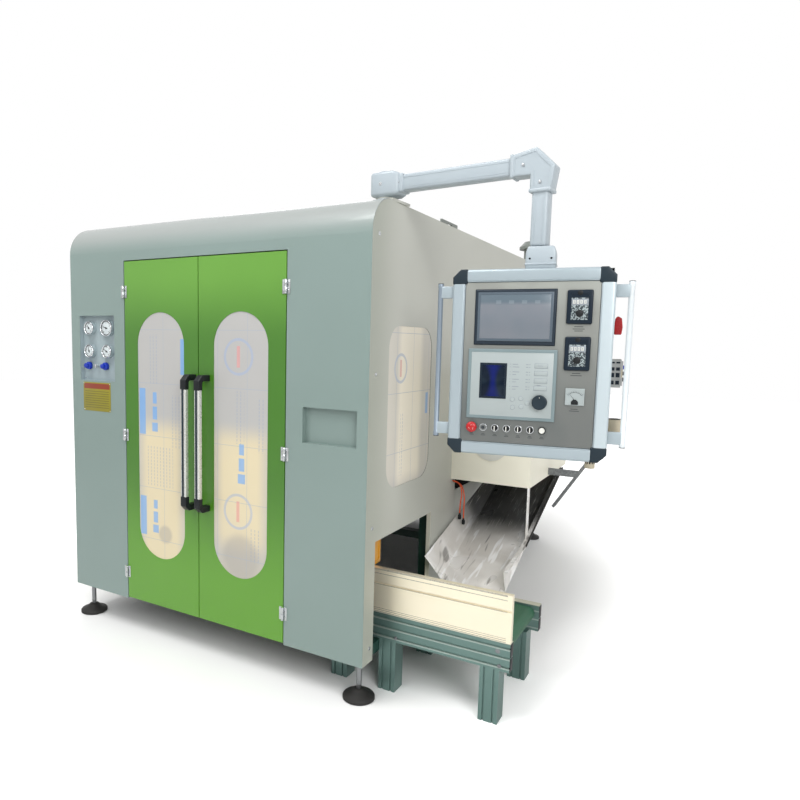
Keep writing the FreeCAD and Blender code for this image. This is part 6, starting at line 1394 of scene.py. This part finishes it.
buzzer_grille = [turned("rib", [(radius - 1, 1264), (radius - 1, 1267), (radius + 1, 1267),
                                (radius + 1, 1264), (radius - 1, 1264)], (292, 20, 0), UP, steps=32)
                 for radius in (8, 14, 20)]
seat(join("buzzer_grille", buzzer_grille), PANEL, black_plastic, "dark_plastic")
gland = turned("cable_gland", [(0, 1070), (9, 1070), (11, 1074), (11, 1084), (17, 1086), (18.5, 1090),
                               (18.5, 1104), (17, 1108), (18.5, 1110), (18.5, 1121.5), (0, 1121.5)],
               (217, 50, 0), UP, steps=12)
seat(round_edges(gland, 0.8, 2), PANEL, black_plastic, "dark_plastic", smooth=25)
print("breakers, toggles, lever, buzzer and gland")

# %% [markdown]
# ## Floor, light and the end
# A plain pale floor and an even sky, with four soft square lamps: a faint key from the front left, a strong
# one from the right front, one from above the front and one from behind. The floor and the sky look white
# to the camera and to reflections, while the light on the machine stays plain.

# %% Floor
clear()
bpy.ops.mesh.primitive_plane_add(size=40, location=(0, 0, 0))
floor = bpy.context.object
floor.name = "floor"
edit_all(floor)
bpy.ops.mesh.subdivide(number_cuts=3)
leave()
# Matt studio paint that keeps the machine's shadow. Only the camera sees the glow, which starts outside an
# oval round the machine, so the floor fades to white without adding light.
floor_paint, tree, shader, place = blank("studio floor, matt white")
speck = add(tree, "TexNoise", {"Vector": place, "Scale": 2.0})
tone = add(tree, "Mix", {0: speck, 6: colour("#F4F4F3"), 7: colour("#F8F8F7")}, **BLEND)
oval = add(tree, "Mapping", {"Vector": place, "Location": (0.507, 0, 0), "Scale": (1.11, 0.67, 1.0)})
away = add(tree, "VectorMath", {0: oval}, operation="LENGTH")
fade = add(tree, "MapRange", {0: away, 1: 1.25, 2: 2.3, 4: 0.6}, **SMOOTH)
seen = add(tree, "LightPath").outputs["Is Camera Ray"]
glow = add(tree, "Math", {0: fade, 1: seen}, operation="MULTIPLY")
wire(tree, shader, {"Base Color": tone, "Roughness": 0.8, "Emission Color": colour("#FFFFFF"),
                    "Emission Strength": glow})
floor.data.materials.append(floor_paint)
print("floor laid")

# %% Lamps
def lamp(name, at, aim, size, power):
    light = bpy.data.objects.new(name, bpy.data.lights.new(name, "AREA"))
    bpy.context.collection.objects.link(light)
    light.data.shape = "SQUARE"
    light.data.size = size
    light.data.energy = power
    light.location = at
    light.rotation_euler = (Vector(aim) - Vector(at)).to_track_quat("-Z", "Y").to_euler()


lamp("key light", (-3.5, -7.0, 6.0), (-0.2, -1.0, 1.0), 5.0, 40)
lamp("side light", (6.0, -6.5, 5.0), (0.4, -0.3, 1.0), 4.0, 410)
lamp("top light", (-1.0, -4.0, 7.0), (-0.3, -1.2, 1.5), 3.0, 290)
lamp("back light", (-5.0, 7.0, 6.0), (0, 0, 1.0), 5.0, 150)
world = bpy.data.worlds.new("studio")
bpy.context.scene.world = world
world.use_nodes = True
sky = world.node_tree
seen = add(sky, "LightPath").outputs
either = add(sky, "Math", {0: seen["Is Camera Ray"], 1: seen["Is Glossy Ray"]}, operation="MAXIMUM")
through = add(sky, "Math", {0: either, 1: seen["Is Transmission Ray"]}, operation="MAXIMUM")
strength = add(sky, "MapRange", {0: through, 1: 0, 2: 1, 3: 0.45, 4: 1.0}, **SMOOTH)
wire(sky, sky.nodes["Background"], {"Strength": strength, "Color": colour("#FFFFFF")})
bpy.context.scene.view_settings.view_transform = "Standard"
print("lamps and sky set")
